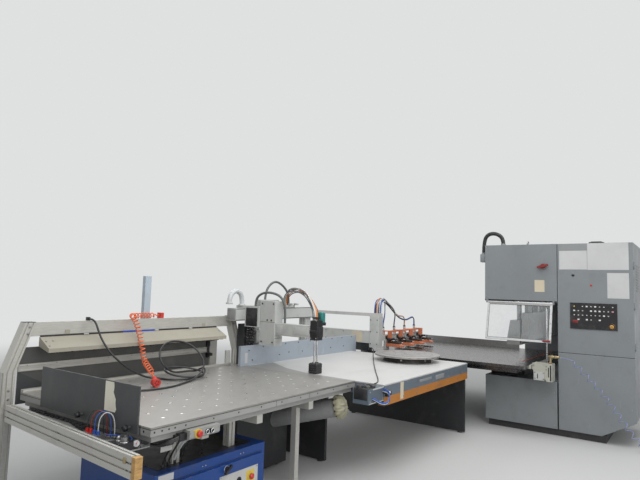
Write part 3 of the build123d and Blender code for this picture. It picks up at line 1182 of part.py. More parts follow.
# Blue base under the air table: a sheet shell on low feet, open at the front for its door
DOOR_FACE = BASE_Y[0] - BASE_DOOR_THICKNESS - SEAT_GAP
DOOR_PIN = (BASE_DOOR_X[0] - 10, BASE_Y[0] - BASE_DOOR_THICKNESS - 8)
PIN_RADIUS = 5
KNUCKLE_RADIUS = 9
KNUCKLE_HEIGHT = 30
DOOR_LAP = 25
BASE_HINGE_Z = (BASE_DOOR_Z[0] + 60, BASE_DOOR_Z[1] - 90)
with BuildPart() as lift_base:
    block(BASE_X, BASE_Y, (24, BASE_HEIGHT))
    fillet(lift_base.edges().filter_by(Axis.Z), 12)
    block((BASE_DOOR_X[0] + DOOR_LAP, BASE_DOOR_X[1] - DOOR_LAP), (BASE_Y[0], BASE_Y[1] - 30),
          (BASE_DOOR_Z[0] + DOOR_LAP, BASE_DOOR_Z[1] - DOOR_LAP), Mode.SUBTRACT)
    for hinge_z in BASE_HINGE_Z:
        rod((*DOOR_PIN, hinge_z - 20), (0, 0, 1), KNUCKLE_RADIUS, 20 - SEAT_GAP)
        block((DOOR_PIN[0] - KNUCKLE_RADIUS, DOOR_PIN[0] + KNUCKLE_RADIUS - 1), (DOOR_PIN[1], BASE_Y[0] + 1),
              (hinge_z - 20, hinge_z - SEAT_GAP))
        rod((*DOOR_PIN, hinge_z - 20), (0, 0, 1), PIN_RADIUS, 20 + KNUCKLE_HEIGHT)
    for foot_x in (BASE_X[0] + 90, BASE_X[1] - 90):
        for foot_y in (BASE_Y[0] + 90, BASE_Y[1] - 90):
            rod((foot_x, foot_y, 0), (0, 0, 1), 32, 25)
lift_base.part.label = "lift_base"
export_step(lift_base.part, "parts/lift_base.step")

# Door of the base on two outer hinge pins, with the control plate and the latch boss
PLATE_X = (-5190, -4800)
PLATE_Z = (110, 300)
LATCH_BOSS = 6
LATCH_Z = BASE_DOOR_Z[1] - 30
with BuildPart() as base_door:
    block(BASE_DOOR_X, (DOOR_FACE, BASE_Y[0] - SEAT_GAP), BASE_DOOR_Z)
    block(PLATE_X, (DOOR_FACE - 4, DOOR_FACE), PLATE_Z)
    rod((BASE_ESTOP[0], DOOR_FACE - 4, BASE_ESTOP[1]), (0, -1, 0), ESTOP_RADIUS + 12, 5)
    rod((BASE_ESTOP[0], DOOR_FACE - 10, BASE_ESTOP[1]), (0, 1, 0), 9 + RUNNING_GAP, 30, Mode.SUBTRACT)
    rod((LATCH_X, DOOR_FACE, LATCH_Z), (0, -1, 0), 22, LATCH_BOSS)
    rod((LATCH_X, DOOR_FACE - LATCH_BOSS - 1, LATCH_Z), (0, 1, 0), 7 + RUNNING_GAP, 60, Mode.SUBTRACT)
    for hinge_z in BASE_HINGE_Z:
        rod((*DOOR_PIN, hinge_z), (0, 0, 1), KNUCKLE_RADIUS, KNUCKLE_HEIGHT)
        block((DOOR_PIN[0], BASE_DOOR_X[0] + 12), (DOOR_PIN[1], DOOR_PIN[1] + KNUCKLE_RADIUS),
              (hinge_z, hinge_z + KNUCKLE_HEIGHT))
        rod((*DOOR_PIN, hinge_z - 1), (0, 0, 1), PIN_RADIUS + RUNNING_GAP, KNUCKLE_HEIGHT + 2, Mode.SUBTRACT)
base_door.part.label = "base_door"
export_step(base_door.part, "parts/base_door.step")

with BuildPart() as base_estop:
    mushroom((BASE_ESTOP[0], DOOR_FACE - 9, BASE_ESTOP[1]), (0, -1, 0), 14)
base_estop.part.label = "base_estop"
export_step(base_estop.part, "parts/base_estop.step")

# Latch of the door: a wing handle on a spindle
with BuildPart() as base_latch:
    rod((LATCH_X, DOOR_FACE - LATCH_BOSS - SEAT_GAP, LATCH_Z), (0, -1, 0), 18, 12)
    rod((LATCH_X, DOOR_FACE - LATCH_BOSS - SEAT_GAP, LATCH_Z), (0, 1, 0), 7, 22)
    with BuildSketch(Plane(origin=(LATCH_X, DOOR_FACE - LATCH_BOSS - 12, LATCH_Z),
                           x_dir=(cos(radians(LATCH_TILT)), 0, sin(radians(LATCH_TILT))), z_dir=(0, -1, 0))):
        SlotOverall(84, 18)
    extrude(amount=14)
base_latch.part.label = "base_latch"
export_step(base_latch.part, "parts/base_latch.step")

# Air blower on the floor behind the base, with its riser into the table and the duct that runs to
# the front, where a cap is tied over its end
DUCT_START = (BLOWER_X[1] - 190, BLOWER_Y[0] + 60, 430)
duct_axis = Vector(*DUCT_END) - Vector(*DUCT_START)
with BuildPart() as air_blower:
    block(BLOWER_X, BLOWER_Y, (30, BLOWER_HEIGHT))
    fillet(air_blower.edges().filter_by(Axis.Z), 20)
    for foot_x in (BLOWER_X[0] + 80, BLOWER_X[1] - 80):
        for foot_y in (BLOWER_Y[0] + 80, BLOWER_Y[1] - 80):
            rod((foot_x, foot_y, 0), (0, 0, 1), 30, 31)
    rod((BLOWER_X[0] + 365, BLOWER_Y[0] + 200, BLOWER_HEIGHT), (0, 0, 1), 75, AIR_BOTTOM - BLOWER_HEIGHT)
    with BuildSketch(Plane(origin=DUCT_START, z_dir=duct_axis)):
        Circle(DUCT_RADIUS)
    extrude(amount=duct_axis.length)
    with BuildSketch(Plane(origin=DUCT_END, z_dir=duct_axis)) as cap_base:
        Circle(DUCT_RADIUS + 14)
    with BuildSketch(Plane(origin=DUCT_END, z_dir=duct_axis).offset(58)) as cap_end:
        Circle(DUCT_RADIUS - 22)
    loft()
air_blower.part.label = "air_blower"
export_step(air_blower.part, "parts/air_blower.step")

# Transfer frame behind the tables: posts, foot beam and the dark drive and valve bank
BANK_X = (-3690, -3470)
FRAME_POST = 100
FOOT_BEAM_Z = (560, 660)
FRAME_POST_Y = SLIDE_BEAM_Y[1] - 10 - FRAME_POST / 2
with BuildPart() as transfer_frame:
    for post_x in TRANSFER_POST_X:
        with BuildSketch(Plane.XY):
            with Locations((post_x, FRAME_POST_Y)):
                slotted_section(FRAME_POST, FRAME_POST)
        extrude(amount=SLIDE_BEAM_Z[0])
    block(TRANSFER_POST_X, (FRAME_POST_Y - 30, FRAME_POST_Y + 30), FOOT_BEAM_Z)
    block(BANK_X, (FRAME_POST_Y - 45, FRAME_POST_Y + 50), (FENCE_BOTTOM - 5, SLIDE_BEAM_Z[0] - 40))
    for post_x in TRANSFER_POST_X:
        block((post_x - 35, post_x + 35), (TRANSFER_Y[1] + FENCE_THICKNESS, FRAME_POST_Y - 30),
              (FENCE_BOTTOM + 25, FENCE_BOTTOM + 85))
transfer_frame.part.label = "transfer_frame"
export_step(transfer_frame.part, "parts/transfer_frame.step")

# Slide beam that the carriage travels on
with BuildPart() as slide_beam:
    with BuildSketch(Plane.YZ.offset(SLIDE_BEAM_X[0])):
        with Locations(((SLIDE_BEAM_Y[0] + SLIDE_BEAM_Y[1]) / 2, (SLIDE_BEAM_Z[0] + SLIDE_BEAM_Z[1]) / 2)):
            RectangleRounded(SLIDE_BEAM_Y[1] - SLIDE_BEAM_Y[0], SLIDE_BEAM_Z[1] - SLIDE_BEAM_Z[0], 6)
    extrude(amount=SLIDE_BEAM_X[1] - SLIDE_BEAM_X[0])
slide_beam.part.label = "slide_beam"
export_step(slide_beam.part, "parts/slide_beam.step")

# Carriage: the plate that hugs the slide beam, the hose carrier, the mast and the arm over the tables
CARRIAGE_WRAP = 28
PRESS_BACK = PRESS_Y + PRESS_SIZE / 2
with BuildPart() as carriage_arm:
    block((CARRIAGE_X - CARRIAGE_SIZE / 2, CARRIAGE_X + CARRIAGE_SIZE / 2),
          (MAST_Y[1], SLIDE_BEAM_Y[0] - SEAT_GAP), (SLIDE_BEAM_Z[0] - 60, SLIDE_BEAM_Z[1] + CARRIAGE_WRAP))
    block((CARRIAGE_X - CARRIAGE_SIZE / 2, CARRIER_END),
          (SLIDE_BEAM_Y[0] - SEAT_GAP, SLIDE_BEAM_Y[1]),
          (SLIDE_BEAM_Z[1] + SEAT_GAP, SLIDE_BEAM_Z[1] + CARRIAGE_WRAP))
    with BuildSketch(Plane.XY.offset(MAST_Z[0])):
        with Locations((CARRIAGE_X, (MAST_Y[0] + MAST_Y[1]) / 2)):
            RectangleRounded(MAST_WIDTH, MAST_Y[1] - MAST_Y[0], 6)
    extrude(amount=MAST_Z[1] - MAST_Z[0])
    block((CARRIAGE_X - ARM_WIDTH / 2, CARRIAGE_X + ARM_WIDTH / 2), (PRESS_BACK, MAST_Y[0] + 1), ARM_Z)
carriage_arm.part.label = "carriage_arm"
export_step(carriage_arm.part, "parts/carriage_arm.step")

# Press head at the arm's end: the cylinder body and its side motor
with BuildPart() as press_head:
    block((CARRIAGE_X - PRESS_SIZE / 2, CARRIAGE_X + PRESS_SIZE / 2), (PRESS_Y - PRESS_SIZE / 2, PRESS_BACK),
          (HEAD_BOTTOM, HEAD_TOP))
    fillet(press_head.edges().filter_by(Axis.Z), 8)
    for rod_side in (-1, 1):
        rod((CARRIAGE_X + rod_side * ROD_SPREAD, PRESS_Y, HEAD_BOTTOM - 1), (0, 0, 1),
            ROD_RADIUS + RUNNING_GAP, 161, Mode.SUBTRACT)
    block((CARRIAGE_X + PRESS_SIZE / 2, CARRIAGE_X + PRESS_SIZE / 2 + 62), (PRESS_Y - 38, PRESS_Y + 38),
          (HEAD_TOP - 50, HEAD_TOP - 20))
    rod((CARRIAGE_X + 82, PRESS_Y, HEAD_TOP - 20), (0, 0, 1), 37, 92)
press_head.part.label = "press_head"
export_step(press_head.part, "parts/press_head.step")

# Press foot on its two guide rods
FOOT_BOTTOM = TABLE_HEIGHT + 1
with BuildPart() as press_foot:
    block((CARRIAGE_X - PRESS_SIZE / 2, CARRIAGE_X + PRESS_SIZE / 2), (PRESS_Y - PRESS_SIZE / 2, PRESS_BACK),
          (FOOT_BOTTOM, FOOT_BOTTOM + FOOT_HEIGHT))
    chamfer(press_foot.edges().group_by(Axis.Z)[-1], 8)
    for rod_side in (-1, 1):
        rod((CARRIAGE_X + rod_side * ROD_SPREAD, PRESS_Y, FOOT_BOTTOM + FOOT_HEIGHT - 1), (0, 0, 1),
            ROD_RADIUS, HEAD_BOTTOM + 38 - FOOT_BOTTOM - FOOT_HEIGHT)
press_foot.part.label = "press_foot"
export_step(press_foot.part, "parts/press_foot.step")

# Hoses of the transfer unit: the bundle that arches from the carrier to the press head, the thick
# hose over the mast, and the loop on the carrier
CARRIER_TOP = SLIDE_BEAM_Z[1] + CARRIAGE_WRAP
with BuildPart() as head_hoses:
    for lane, rise in ((-27, 0), (-9, 34), (9, 14), (27, -16)):
        along, across = 0.82 * lane, -0.57 * lane
        add(tube("bundle hose", [
            (-2960 + along, 2590 + across, CARRIER_TOP),
            (-2960 + along, 2590 + across, CARRIER_TOP + 66),
            (-3040 + along, 2492 + across, CARRIER_TOP + 136 + rise),
            (-3180 + along, 2310 + across, CARRIER_TOP + 170 + rise),
            (-3330 + along, 2092 + across, CARRIER_TOP + 168 + rise),
            (-3470 + along, 1890 + across, CARRIER_TOP + 130 + rise),
            (-3572 + along, 1742 + across, CARRIER_TOP + 40 + rise / 2),
            (CARRIAGE_X - 4 + along, PRESS_Y + 8 + across, HEAD_TOP + 76),
            (CARRIAGE_X - 4 + along, PRESS_Y + 8 + across, HEAD_TOP),
        ], 7))
    add(tube("mast hose", [
        (CARRIAGE_X - 60, 2410, CARRIER_TOP),
        (CARRIAGE_X - 60, 2410, CARRIER_TOP + 80),
        (CARRIAGE_X - 46, 2334, CARRIER_TOP + 142),
        (CARRIAGE_X - 12, 2232, CARRIER_TOP + 148),
        (CARRIAGE_X + 20, 2136, CARRIER_TOP + 112),
        (CARRIAGE_X + 34, 2092, CARRIER_TOP + 32),
        (CARRIAGE_X + 36, 2084, CARRIER_TOP - 60),
        (CARRIAGE_X + 36, 2084, ARM_Z[1]),
    ], 13))
    add(tube("carrier loop", [
        (-3330, 2590, CARRIER_TOP),
        (-3330, 2590, CARRIER_TOP + 96),
        (-3280, 2590, CARRIER_TOP + 208),
        (-3150, 2590, CARRIER_TOP + 264),
        (-3014, 2590, CARRIER_TOP + 228),
        (-2890, 2598, CARRIER_TOP + 124),
        (-2890, 2598, CARRIER_TOP),
    ], 12))
head_hoses.part.label = "head_hoses"
export_step(head_hoses.part, "parts/head_hoses.step")

# Stand of the feed arm: foot, column, and the grooved rail that starts on the cutting table
FEED_HALF = FEED_BEAM_WIDTH / 2
RAIL_SEAT = FEED_BEAM_Z[0] - SEAT_GAP
with BuildPart() as feed_stand:
    with BuildSketch(Plane.XZ.offset(-FEED_RAIL_Y[0])):
        with BuildLine():
            Polyline(
                (FEED_X - FEED_RAIL_WIDTH / 2, TABLE_HEIGHT),
                (FEED_X + FEED_RAIL_WIDTH / 2, TABLE_HEIGHT),
                (FEED_X + FEED_RAIL_WIDTH / 2, RAIL_SEAT),
                (FEED_X + RUNNER_WIDTH / 2 + SEAT_GAP, RAIL_SEAT),
                (FEED_X + RUNNER_WIDTH / 2 + SEAT_GAP, RAIL_SEAT - RUNNER_DEPTH),
                (FEED_X - RUNNER_WIDTH / 2 - SEAT_GAP, RAIL_SEAT - RUNNER_DEPTH),
                (FEED_X - RUNNER_WIDTH / 2 - SEAT_GAP, RAIL_SEAT),
                (FEED_X - FEED_RAIL_WIDTH / 2, RAIL_SEAT),
                close=True,
            )
        make_face()
    extrude(amount=-(FEED_RAIL_Y[1] - FEED_RAIL_Y[0]))
    for column_y in FEED_COLUMN_Y:
        block((FEED_X - FEED_COLUMN_HALF, FEED_X + FEED_COLUMN_HALF),
              (column_y - FEED_COLUMN_HALF, column_y + FEED_COLUMN_HALF), (FEED_FOOT[2], TABLE_HEIGHT))
        block((FEED_X - FEED_FOOT[0] / 2, FEED_X + FEED_FOOT[0] / 2),
              (column_y - FEED_FOOT[1] / 2, column_y + FEED_FOOT[1] / 2), (0, FEED_FOOT[2]))
    block((FEED_X - 30, FEED_X + 30), FEED_COLUMN_Y, (TABLE_HEIGHT - 90, TABLE_HEIGHT))
feed_stand.part.label = "feed_stand"
export_step(feed_stand.part, "parts/feed_stand.step")

# Signal cable: from the rail's front end across the transfer table to the junction box
SIGNAL_RADIUS = 5
SIGNAL_LOW = TABLE_HEIGHT + SIGNAL_RADIUS + SEAT_GAP
signal_bend = ((-1640, 2135, SIGNAL_LOW), (-2600, 1600, SIGNAL_LOW), (-3500, 1022, SIGNAL_LOW))
signal_route = [
    (FEED_X - 20, FEED_RAIL_Y[0], TABLE_HEIGHT + 38),
    (FEED_X - 20, FEED_RAIL_Y[0] - 38, TABLE_HEIGHT + 38),
    (FEED_X - 52, FEED_RAIL_Y[0] - 78, TABLE_HEIGHT + 20),
    (-1562, 2176, TABLE_HEIGHT + 9),
    signal_bend[0],
    *gentle_bend(*signal_bend, 8),
    signal_bend[2],
    (-3640, 948, SIGNAL_LOW),
    (-3730, 924, SIGNAL_LOW),
    (JUNCTION_GLAND[0], 924, SIGNAL_LOW),
]
with BuildPart() as signal_cable:
    add(tube("signal cable", signal_route, SIGNAL_RADIUS))
signal_cable.part.label = "signal_cable"
export_step(signal_cable.part, "parts/signal_cable.step")

# Feed arm: beam, end post, crossbar and the lower tongues of the grippers
CROSSBAR_Z = (TABLE_HEIGHT + 135, TABLE_HEIGHT + 210)
CROSSBAR_Y = (2165, 2245)
CROSSBAR_END = FEED_X + FEED_POST / 2 + JAW_PITCH * JAW_COUNT
TONGUE_BOTTOM = TABLE_HEIGHT + 6
JAW_ROD_RADIUS = 8
JAW_ROD_Y = CROSSBAR_Y[0] + 20
JAW_BORE_Z = CROSSBAR_Z[0] - 45
LIFT_BAR_Z = CROSSBAR_Z[1] + 48
JAW_X = [FEED_X + FEED_POST / 2 + JAW_PITCH * (index + 0.5) for index in range(JAW_COUNT)]
with BuildPart() as feed_arm:
    block((FEED_X - FEED_HALF, FEED_X + FEED_HALF), (FEED_POST_Y[1], FEED_BEAM_END), FEED_BEAM_Z)
    block((FEED_X - RUNNER_WIDTH / 2, FEED_X + RUNNER_WIDTH / 2), (FEED_POST_Y[1], FEED_BEAM_END),
          (FEED_BEAM_Z[0] - RUNNER_DEPTH + SEAT_GAP, FEED_BEAM_Z[0]))
    with BuildSketch(Plane.XY.offset(FEED_POST_Z[0])):
        with Locations((FEED_X, (FEED_POST_Y[0] + FEED_POST_Y[1]) / 2)):
            RectangleRounded(FEED_POST, FEED_POST_Y[1] - FEED_POST_Y[0], 8)
    extrude(amount=FEED_POST_Z[1] - FEED_POST_Z[0])
    block((FEED_X - 45, FEED_X + 45), (FEED_POST_Y[0], FEED_POST_Y[1] + 900),
          (FEED_POST_Z[1], FEED_POST_Z[1] + FEED_BAR_HEIGHT))
    block((FEED_X + FEED_POST / 2, CROSSBAR_END), CROSSBAR_Y, CROSSBAR_Z)
    for jaw_x in JAW_X:
        block((jaw_x - JAW_WIDTH / 2, jaw_x + JAW_WIDTH / 2),
              (CROSSBAR_Y[0] - JAW_LENGTH, CROSSBAR_Y[0] + 20),
              (TONGUE_BOTTOM, TONGUE_BOTTOM + TONGUE_THICKNESS))
        block((jaw_x - JAW_WIDTH / 2, jaw_x + JAW_WIDTH / 2), (CROSSBAR_Y[0] - 14, CROSSBAR_Y[0] + 20),
              (TONGUE_BOTTOM, CROSSBAR_Z[0] + 20))
        rod((jaw_x, CROSSBAR_Y[1] - 20, CROSSBAR_Z[1]), (0, 0, 1), 18, 90)
        rod((jaw_x - 34, JAW_ROD_Y, JAW_BORE_Z), (0, 0, 1), JAW_ROD_RADIUS + RUNNING_GAP,
            CROSSBAR_Z[1] + 1 - JAW_BORE_Z, Mode.SUBTRACT)
feed_arm.part.label = "feed_arm"
export_step(feed_arm.part, "parts/feed_arm.step")

# Upper jaws of the grippers, orange pads joined by a bar, on rods in the crossbar
with BuildPart() as gripper_jaws:
    for jaw_x in JAW_X:
        with BuildSketch(Plane.YZ.offset(jaw_x - JAW_WIDTH / 2 + 6)):
            with BuildLine():
                Polyline(
                    (CROSSBAR_Y[0] - JAW_LENGTH, JAW_OPEN - JAW_THICKNESS),
                    (CROSSBAR_Y[0] - 18, JAW_OPEN - JAW_THICKNESS),
                    (CROSSBAR_Y[0] - 18, JAW_OPEN),
                    (CROSSBAR_Y[0] - JAW_LENGTH + 70, JAW_OPEN),
                    (CROSSBAR_Y[0] - JAW_LENGTH, JAW_OPEN - JAW_THICKNESS / 2),
                    close=True,
                )
            make_face()
        extrude(amount=JAW_WIDTH - 12)
        block((jaw_x - 12, jaw_x + 12), (CROSSBAR_Y[0] - 80, CROSSBAR_Y[0] - 20), (JAW_OPEN, LIFT_BAR_Z + 12))
        block((jaw_x - 48, jaw_x + 12), (CROSSBAR_Y[0] - 20, JAW_ROD_Y + 14), (LIFT_BAR_Z, LIFT_BAR_Z + 12))
        rod((jaw_x - 34, JAW_ROD_Y, LIFT_BAR_Z + 1), (0, 0, -1), JAW_ROD_RADIUS,
            LIFT_BAR_Z - CROSSBAR_Z[0] - 6)
    block((JAW_X[0] - 12, JAW_X[-1] + 12), (CROSSBAR_Y[0] - 44, CROSSBAR_Y[0] - 20),
          (LIFT_BAR_Z - 12, LIFT_BAR_Z + 12))
gripper_jaws.part.label = "gripper_jaws"
export_step(gripper_jaws.part, "parts/gripper_jaws.step")
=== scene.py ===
"""Looks of the paper cutting line: materials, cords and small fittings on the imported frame.

Places are metres in the frame of the part: +X along the line towards the cutter, +Y to the
back, +Z up. The front of the line is on the -Y side.
"""
import json
import math
from itertools import product

import bmesh
import bpy
from mathutils import Matrix, Vector


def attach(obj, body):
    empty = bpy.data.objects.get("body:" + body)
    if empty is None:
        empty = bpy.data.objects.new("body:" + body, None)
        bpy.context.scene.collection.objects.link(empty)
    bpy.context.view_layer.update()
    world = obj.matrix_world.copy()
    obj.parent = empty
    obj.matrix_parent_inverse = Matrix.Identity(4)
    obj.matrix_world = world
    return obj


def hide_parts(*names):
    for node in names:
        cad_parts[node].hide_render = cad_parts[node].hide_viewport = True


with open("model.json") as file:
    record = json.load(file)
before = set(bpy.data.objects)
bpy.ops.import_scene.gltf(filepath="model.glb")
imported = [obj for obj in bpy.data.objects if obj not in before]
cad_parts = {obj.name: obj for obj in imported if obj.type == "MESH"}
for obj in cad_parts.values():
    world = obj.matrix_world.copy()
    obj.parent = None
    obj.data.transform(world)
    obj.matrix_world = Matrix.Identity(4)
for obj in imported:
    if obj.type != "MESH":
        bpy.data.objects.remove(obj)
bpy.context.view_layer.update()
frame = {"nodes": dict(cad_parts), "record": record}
nodes = frame["nodes"]

# Camera, at the viewing angle of the photograph
CAMERA_AT = (-7.95, -1.445, 1.62)
CAMERA_YAW = 35.5
CAMERA_PITCH = 5.2
CAMERA_ROLL = 1.7
IMAGE_WIDTH = 640
FOCAL_PIXELS = 537
SENSOR_WIDTH = 36

FLOOR_REACH = 60

# Height of the table tops
TABLE_TOP = 0.8


def make_camera():
    """Camera turned by yaw from +X, then by pitch and roll."""
    yaw, pitch, roll = (math.radians(angle) for angle in (CAMERA_YAW, CAMERA_PITCH, CAMERA_ROLL))
    ahead = Vector((math.cos(yaw) * math.cos(pitch), math.sin(yaw) * math.cos(pitch), math.sin(pitch)))
    level = Vector((math.sin(yaw), -math.cos(yaw), 0))
    upright = level.cross(ahead)
    right = math.cos(roll) * level + math.sin(roll) * upright
    up = math.cos(roll) * upright - math.sin(roll) * level
    data = bpy.data.cameras.new("camera")
    data.sensor_width = SENSOR_WIDTH
    data.lens = FOCAL_PIXELS / IMAGE_WIDTH * SENSOR_WIDTH
    data.clip_end = 200
    camera = bpy.data.objects.new("camera", data)
    bpy.context.scene.collection.objects.link(camera)
    turn = Matrix((right, up, -ahead)).transposed().to_4x4()
    camera.matrix_world = Matrix.Translation(CAMERA_AT) @ turn
    bpy.context.scene.camera = camera


def area_light(name, at, target, size, power):
    """Soft square light that looks at a point."""
    data = bpy.data.lights.new(name, "AREA")
    data.size = size
    data.energy = power
    lamp = bpy.data.objects.new(name, data)
    lamp.location = at
    lamp.rotation_euler = (Vector(target) - Vector(at)).to_track_quat("-Z", "Y").to_euler()
    bpy.context.scene.collection.objects.link(lamp)


def add_node(tree, kind, values=(), **settings):
    """New node of a tree, with its settings and the values of its inputs."""
    made = tree.nodes.new(kind)
    for key, value in settings.items():
        setattr(made, key, value)
    for key, value in dict(values).items():
        made.inputs[key].default_value = value
    return made


def looking_ray(tree):
    """1 for a ray from the camera, from a mirror or through glass, and 0 for light."""
    path = add_node(tree, "ShaderNodeLightPath")
    total = path.outputs["Is Camera Ray"]
    for kind in ("Is Glossy Ray", "Is Transmission Ray"):
        joined = add_node(tree, "ShaderNodeMath", operation="MAXIMUM")
        tree.links.new(total, joined.inputs[0])
        tree.links.new(path.outputs[kind], joined.inputs[1])
        total = joined.outputs[0]
    return total


def mix_by(tree, share, first, second, output):
    """Sends to an output the first shader, or as much of the second as share says."""
    mixed = add_node(tree, "ShaderNodeMixShader")
    for source, target in ((share, "Fac"), (first, 1), (second, 2)):
        tree.links.new(source, mixed.inputs[target])
    tree.links.new(mixed.outputs["Shader"], tree.nodes[output].inputs["Surface"])


def make_world():
    """Pale world, brighter to the eye than as a light."""
    world = bpy.data.worlds.new("studio")
    world.use_nodes = True
    tree = world.node_tree
    light = tree.nodes["Background"]
    light.inputs["Color"].default_value = (0.8, 0.82, 0.84, 1)
    light.inputs["Strength"].default_value = 0.5
    seen = add_node(tree, "ShaderNodeBackground", {"Color": (0.86, 0.87, 0.87, 1), "Strength": 0.86})
    mix_by(tree, looking_ray(tree), light.outputs["Background"], seen.outputs["Background"], "World Output")
    bpy.context.scene.world = world


def make_floor():
    """Plain floor that fades into the backdrop far from the line."""
    mesh = bpy.data.meshes.new("floor")
    mesh.from_pydata([(x * FLOOR_REACH, y * FLOOR_REACH, 0) for x, y in ((-1, -1), (1, -1), (1, 1), (-1, 1))],
        [], [(0, 1, 2, 3)])
    floor = bpy.data.objects.new("floor", mesh)
    bpy.context.scene.collection.objects.link(floor)
    plain = bpy.data.materials.new("floor plain")
    plain.use_nodes = True
    tree = plain.node_tree
    ground = tree.nodes["Principled BSDF"]
    ground.inputs["Base Color"].default_value = (0.5, 0.5, 0.495, 1)
    ground.inputs["Roughness"].default_value = 0.8
    far = add_node(tree, "ShaderNodeEmission", {"Color": (0.74, 0.748, 0.748, 1)})
    where = add_node(tree, "ShaderNodeTexCoord")
    away = add_node(tree, "ShaderNodeVectorMath", {1: (-3, 1.2, 0)}, operation="DISTANCE")
    fade = add_node(tree, "ShaderNodeMapRange", {"From Min": 4.5, "From Max": 13},
        interpolation_type="SMOOTHSTEP")
    share = add_node(tree, "ShaderNodeMath", operation="MULTIPLY")
    tree.links.new(where.outputs["Object"], away.inputs[0])
    tree.links.new(away.outputs["Value"], fade.inputs["Value"])
    tree.links.new(fade.outputs["Result"], share.inputs[0])
    tree.links.new(looking_ray(tree), share.inputs[1])
    mix_by(tree, share.outputs[0], ground.outputs["BSDF"], far.outputs["Emission"], "Material Output")
    mesh.materials.append(plain)


def make_studio():
    """Pale world, soft lights from above and the front, and a plain floor."""
    make_world()
    bpy.context.scene.view_settings.view_transform = "Standard"
    area_light("ceiling left", (-5.5, 0.2, 5.2), (-4.6, 1.9, 0.8), 4.5, 150)
    area_light("ceiling right", (-1.2, -0.6, 5.4), (-0.8, 0.6, 0.8), 4.5, 150)
    area_light("front", (-7.5, -5.5, 3.6), (-2.5, 1, 1.0), 5.0, 210)
    area_light("back", (-2.5, 6.5, 5.0), (-3, 2, 0.8), 4.0, 80)
    make_floor()


class Shader:
    """A material under construction, with a short call for each kind of node."""

    def __init__(self):
        self.material = bpy.data.materials.new("finish")
        self.material.use_nodes = True
        self.tree = self.material.node_tree
        self.bsdf = self.tree.nodes["Principled BSDF"]
        self.place = self.node("ShaderNodeTexCoord").outputs["Object"]

    def node(self, kind, values=(), **settings):
        return add_node(self.tree, kind, values, **settings)

    def link(self, source, target):
        self.tree.links.new(source, target)

    def noise(self, scale, detail=3, stretch=(1, 1, 1), shift=(0, 0, 0), rough=0.55):
        """Noise over the object, stretched along its axes."""
        mapping = self.node("ShaderNodeMapping", {"Scale": stretch, "Location": shift})
        self.link(self.place, mapping.inputs["Vector"])
        made = self.node("ShaderNodeTexNoise", {"Scale": scale, "Detail": detail, "Roughness": rough})
        self.link(mapping.outputs["Vector"], made.inputs["Vector"])
        return made.outputs["Fac"]

    def ramp(self, value, stops):
        """Colours or greys by value, from a list of (place, colour)."""
        made = self.node("ShaderNodeValToRGB")
        elements = made.color_ramp.elements
        for element, (place, colour) in ((elements[0], stops[0]), (elements[-1], stops[-1])):
            element.position = place
            element.color = (*colour, 1)
        for place, colour in stops[1:-1]:
            elements.new(place).color = (*colour, 1)
        self.link(value, made.inputs["Fac"])
        return made.outputs["Color"]

    def mask(self, value, low, high, most=1.0):
        """Grey from 0 to most as value goes from low to high."""
        made = self.node("ShaderNodeMapRange", {"From Min": low, "From Max": high, "To Max": most})
        self.link(value, made.inputs["Value"])
        return made.outputs["Result"]

    def mix(self, share, first, second):
        """First colour, with as much of the second as share says."""
        made = self.node("ShaderNodeMix", data_type="RGBA")
        self.link(share, made.inputs["Factor"])
        for side, colour in ((6, first), (7, second)):
            if isinstance(colour, tuple):
                made.inputs[side].default_value = (*colour, 1)
            else:
                self.link(colour, made.inputs[side])
        return made.outputs[2]

    def product(self, first, second):
        made = self.node("ShaderNodeMath", operation="MULTIPLY")
        self.link(first, made.inputs[0])
        self.link(second, made.inputs[1])
        return made.outputs[0]

    def edges(self, width):
        """Mask that is bright where a corner is nearer than width."""
        bevel = self.node("ShaderNodeBevel", {"Radius": width}, samples=4)
        geometry = self.node("ShaderNodeNewGeometry")
        dot = self.node("ShaderNodeVectorMath", operation="DOT_PRODUCT")
        self.link(bevel.outputs["Normal"], dot.inputs[0])
        self.link(geometry.outputs["Normal"], dot.inputs[1])
        return self.mask(dot.outputs["Value"], 0.995, 0.86)

    def bump(self, height, strength, distance):
        made = self.node("ShaderNodeBump", {"Strength": strength, "Distance": distance})
        self.link(height, made.inputs["Height"])
        self.link(made.outputs["Normal"], self.bsdf.inputs["Normal"])

    def surface(self, colour, roughness, metallic=0.0):
        for name, value in (("Base Color", colour), ("Roughness", roughness)):
            if isinstance(value, (tuple, float)):
                full = (*value, 1) if isinstance(value, tuple) else value
                self.bsdf.inputs[name].default_value = full
            else:
                self.link(value, self.bsdf.inputs[name])
        self.bsdf.inputs["Metallic"].default_value = metallic


def shade(colour, factor):
    return tuple(min(1.0, part * factor) for part in colour)


# Primer and metal where the enamel is rubbed through, and dust on plastic
BARE_METAL = (0.32, 0.31, 0.3)
DUST = (0.3, 0.29, 0.27)


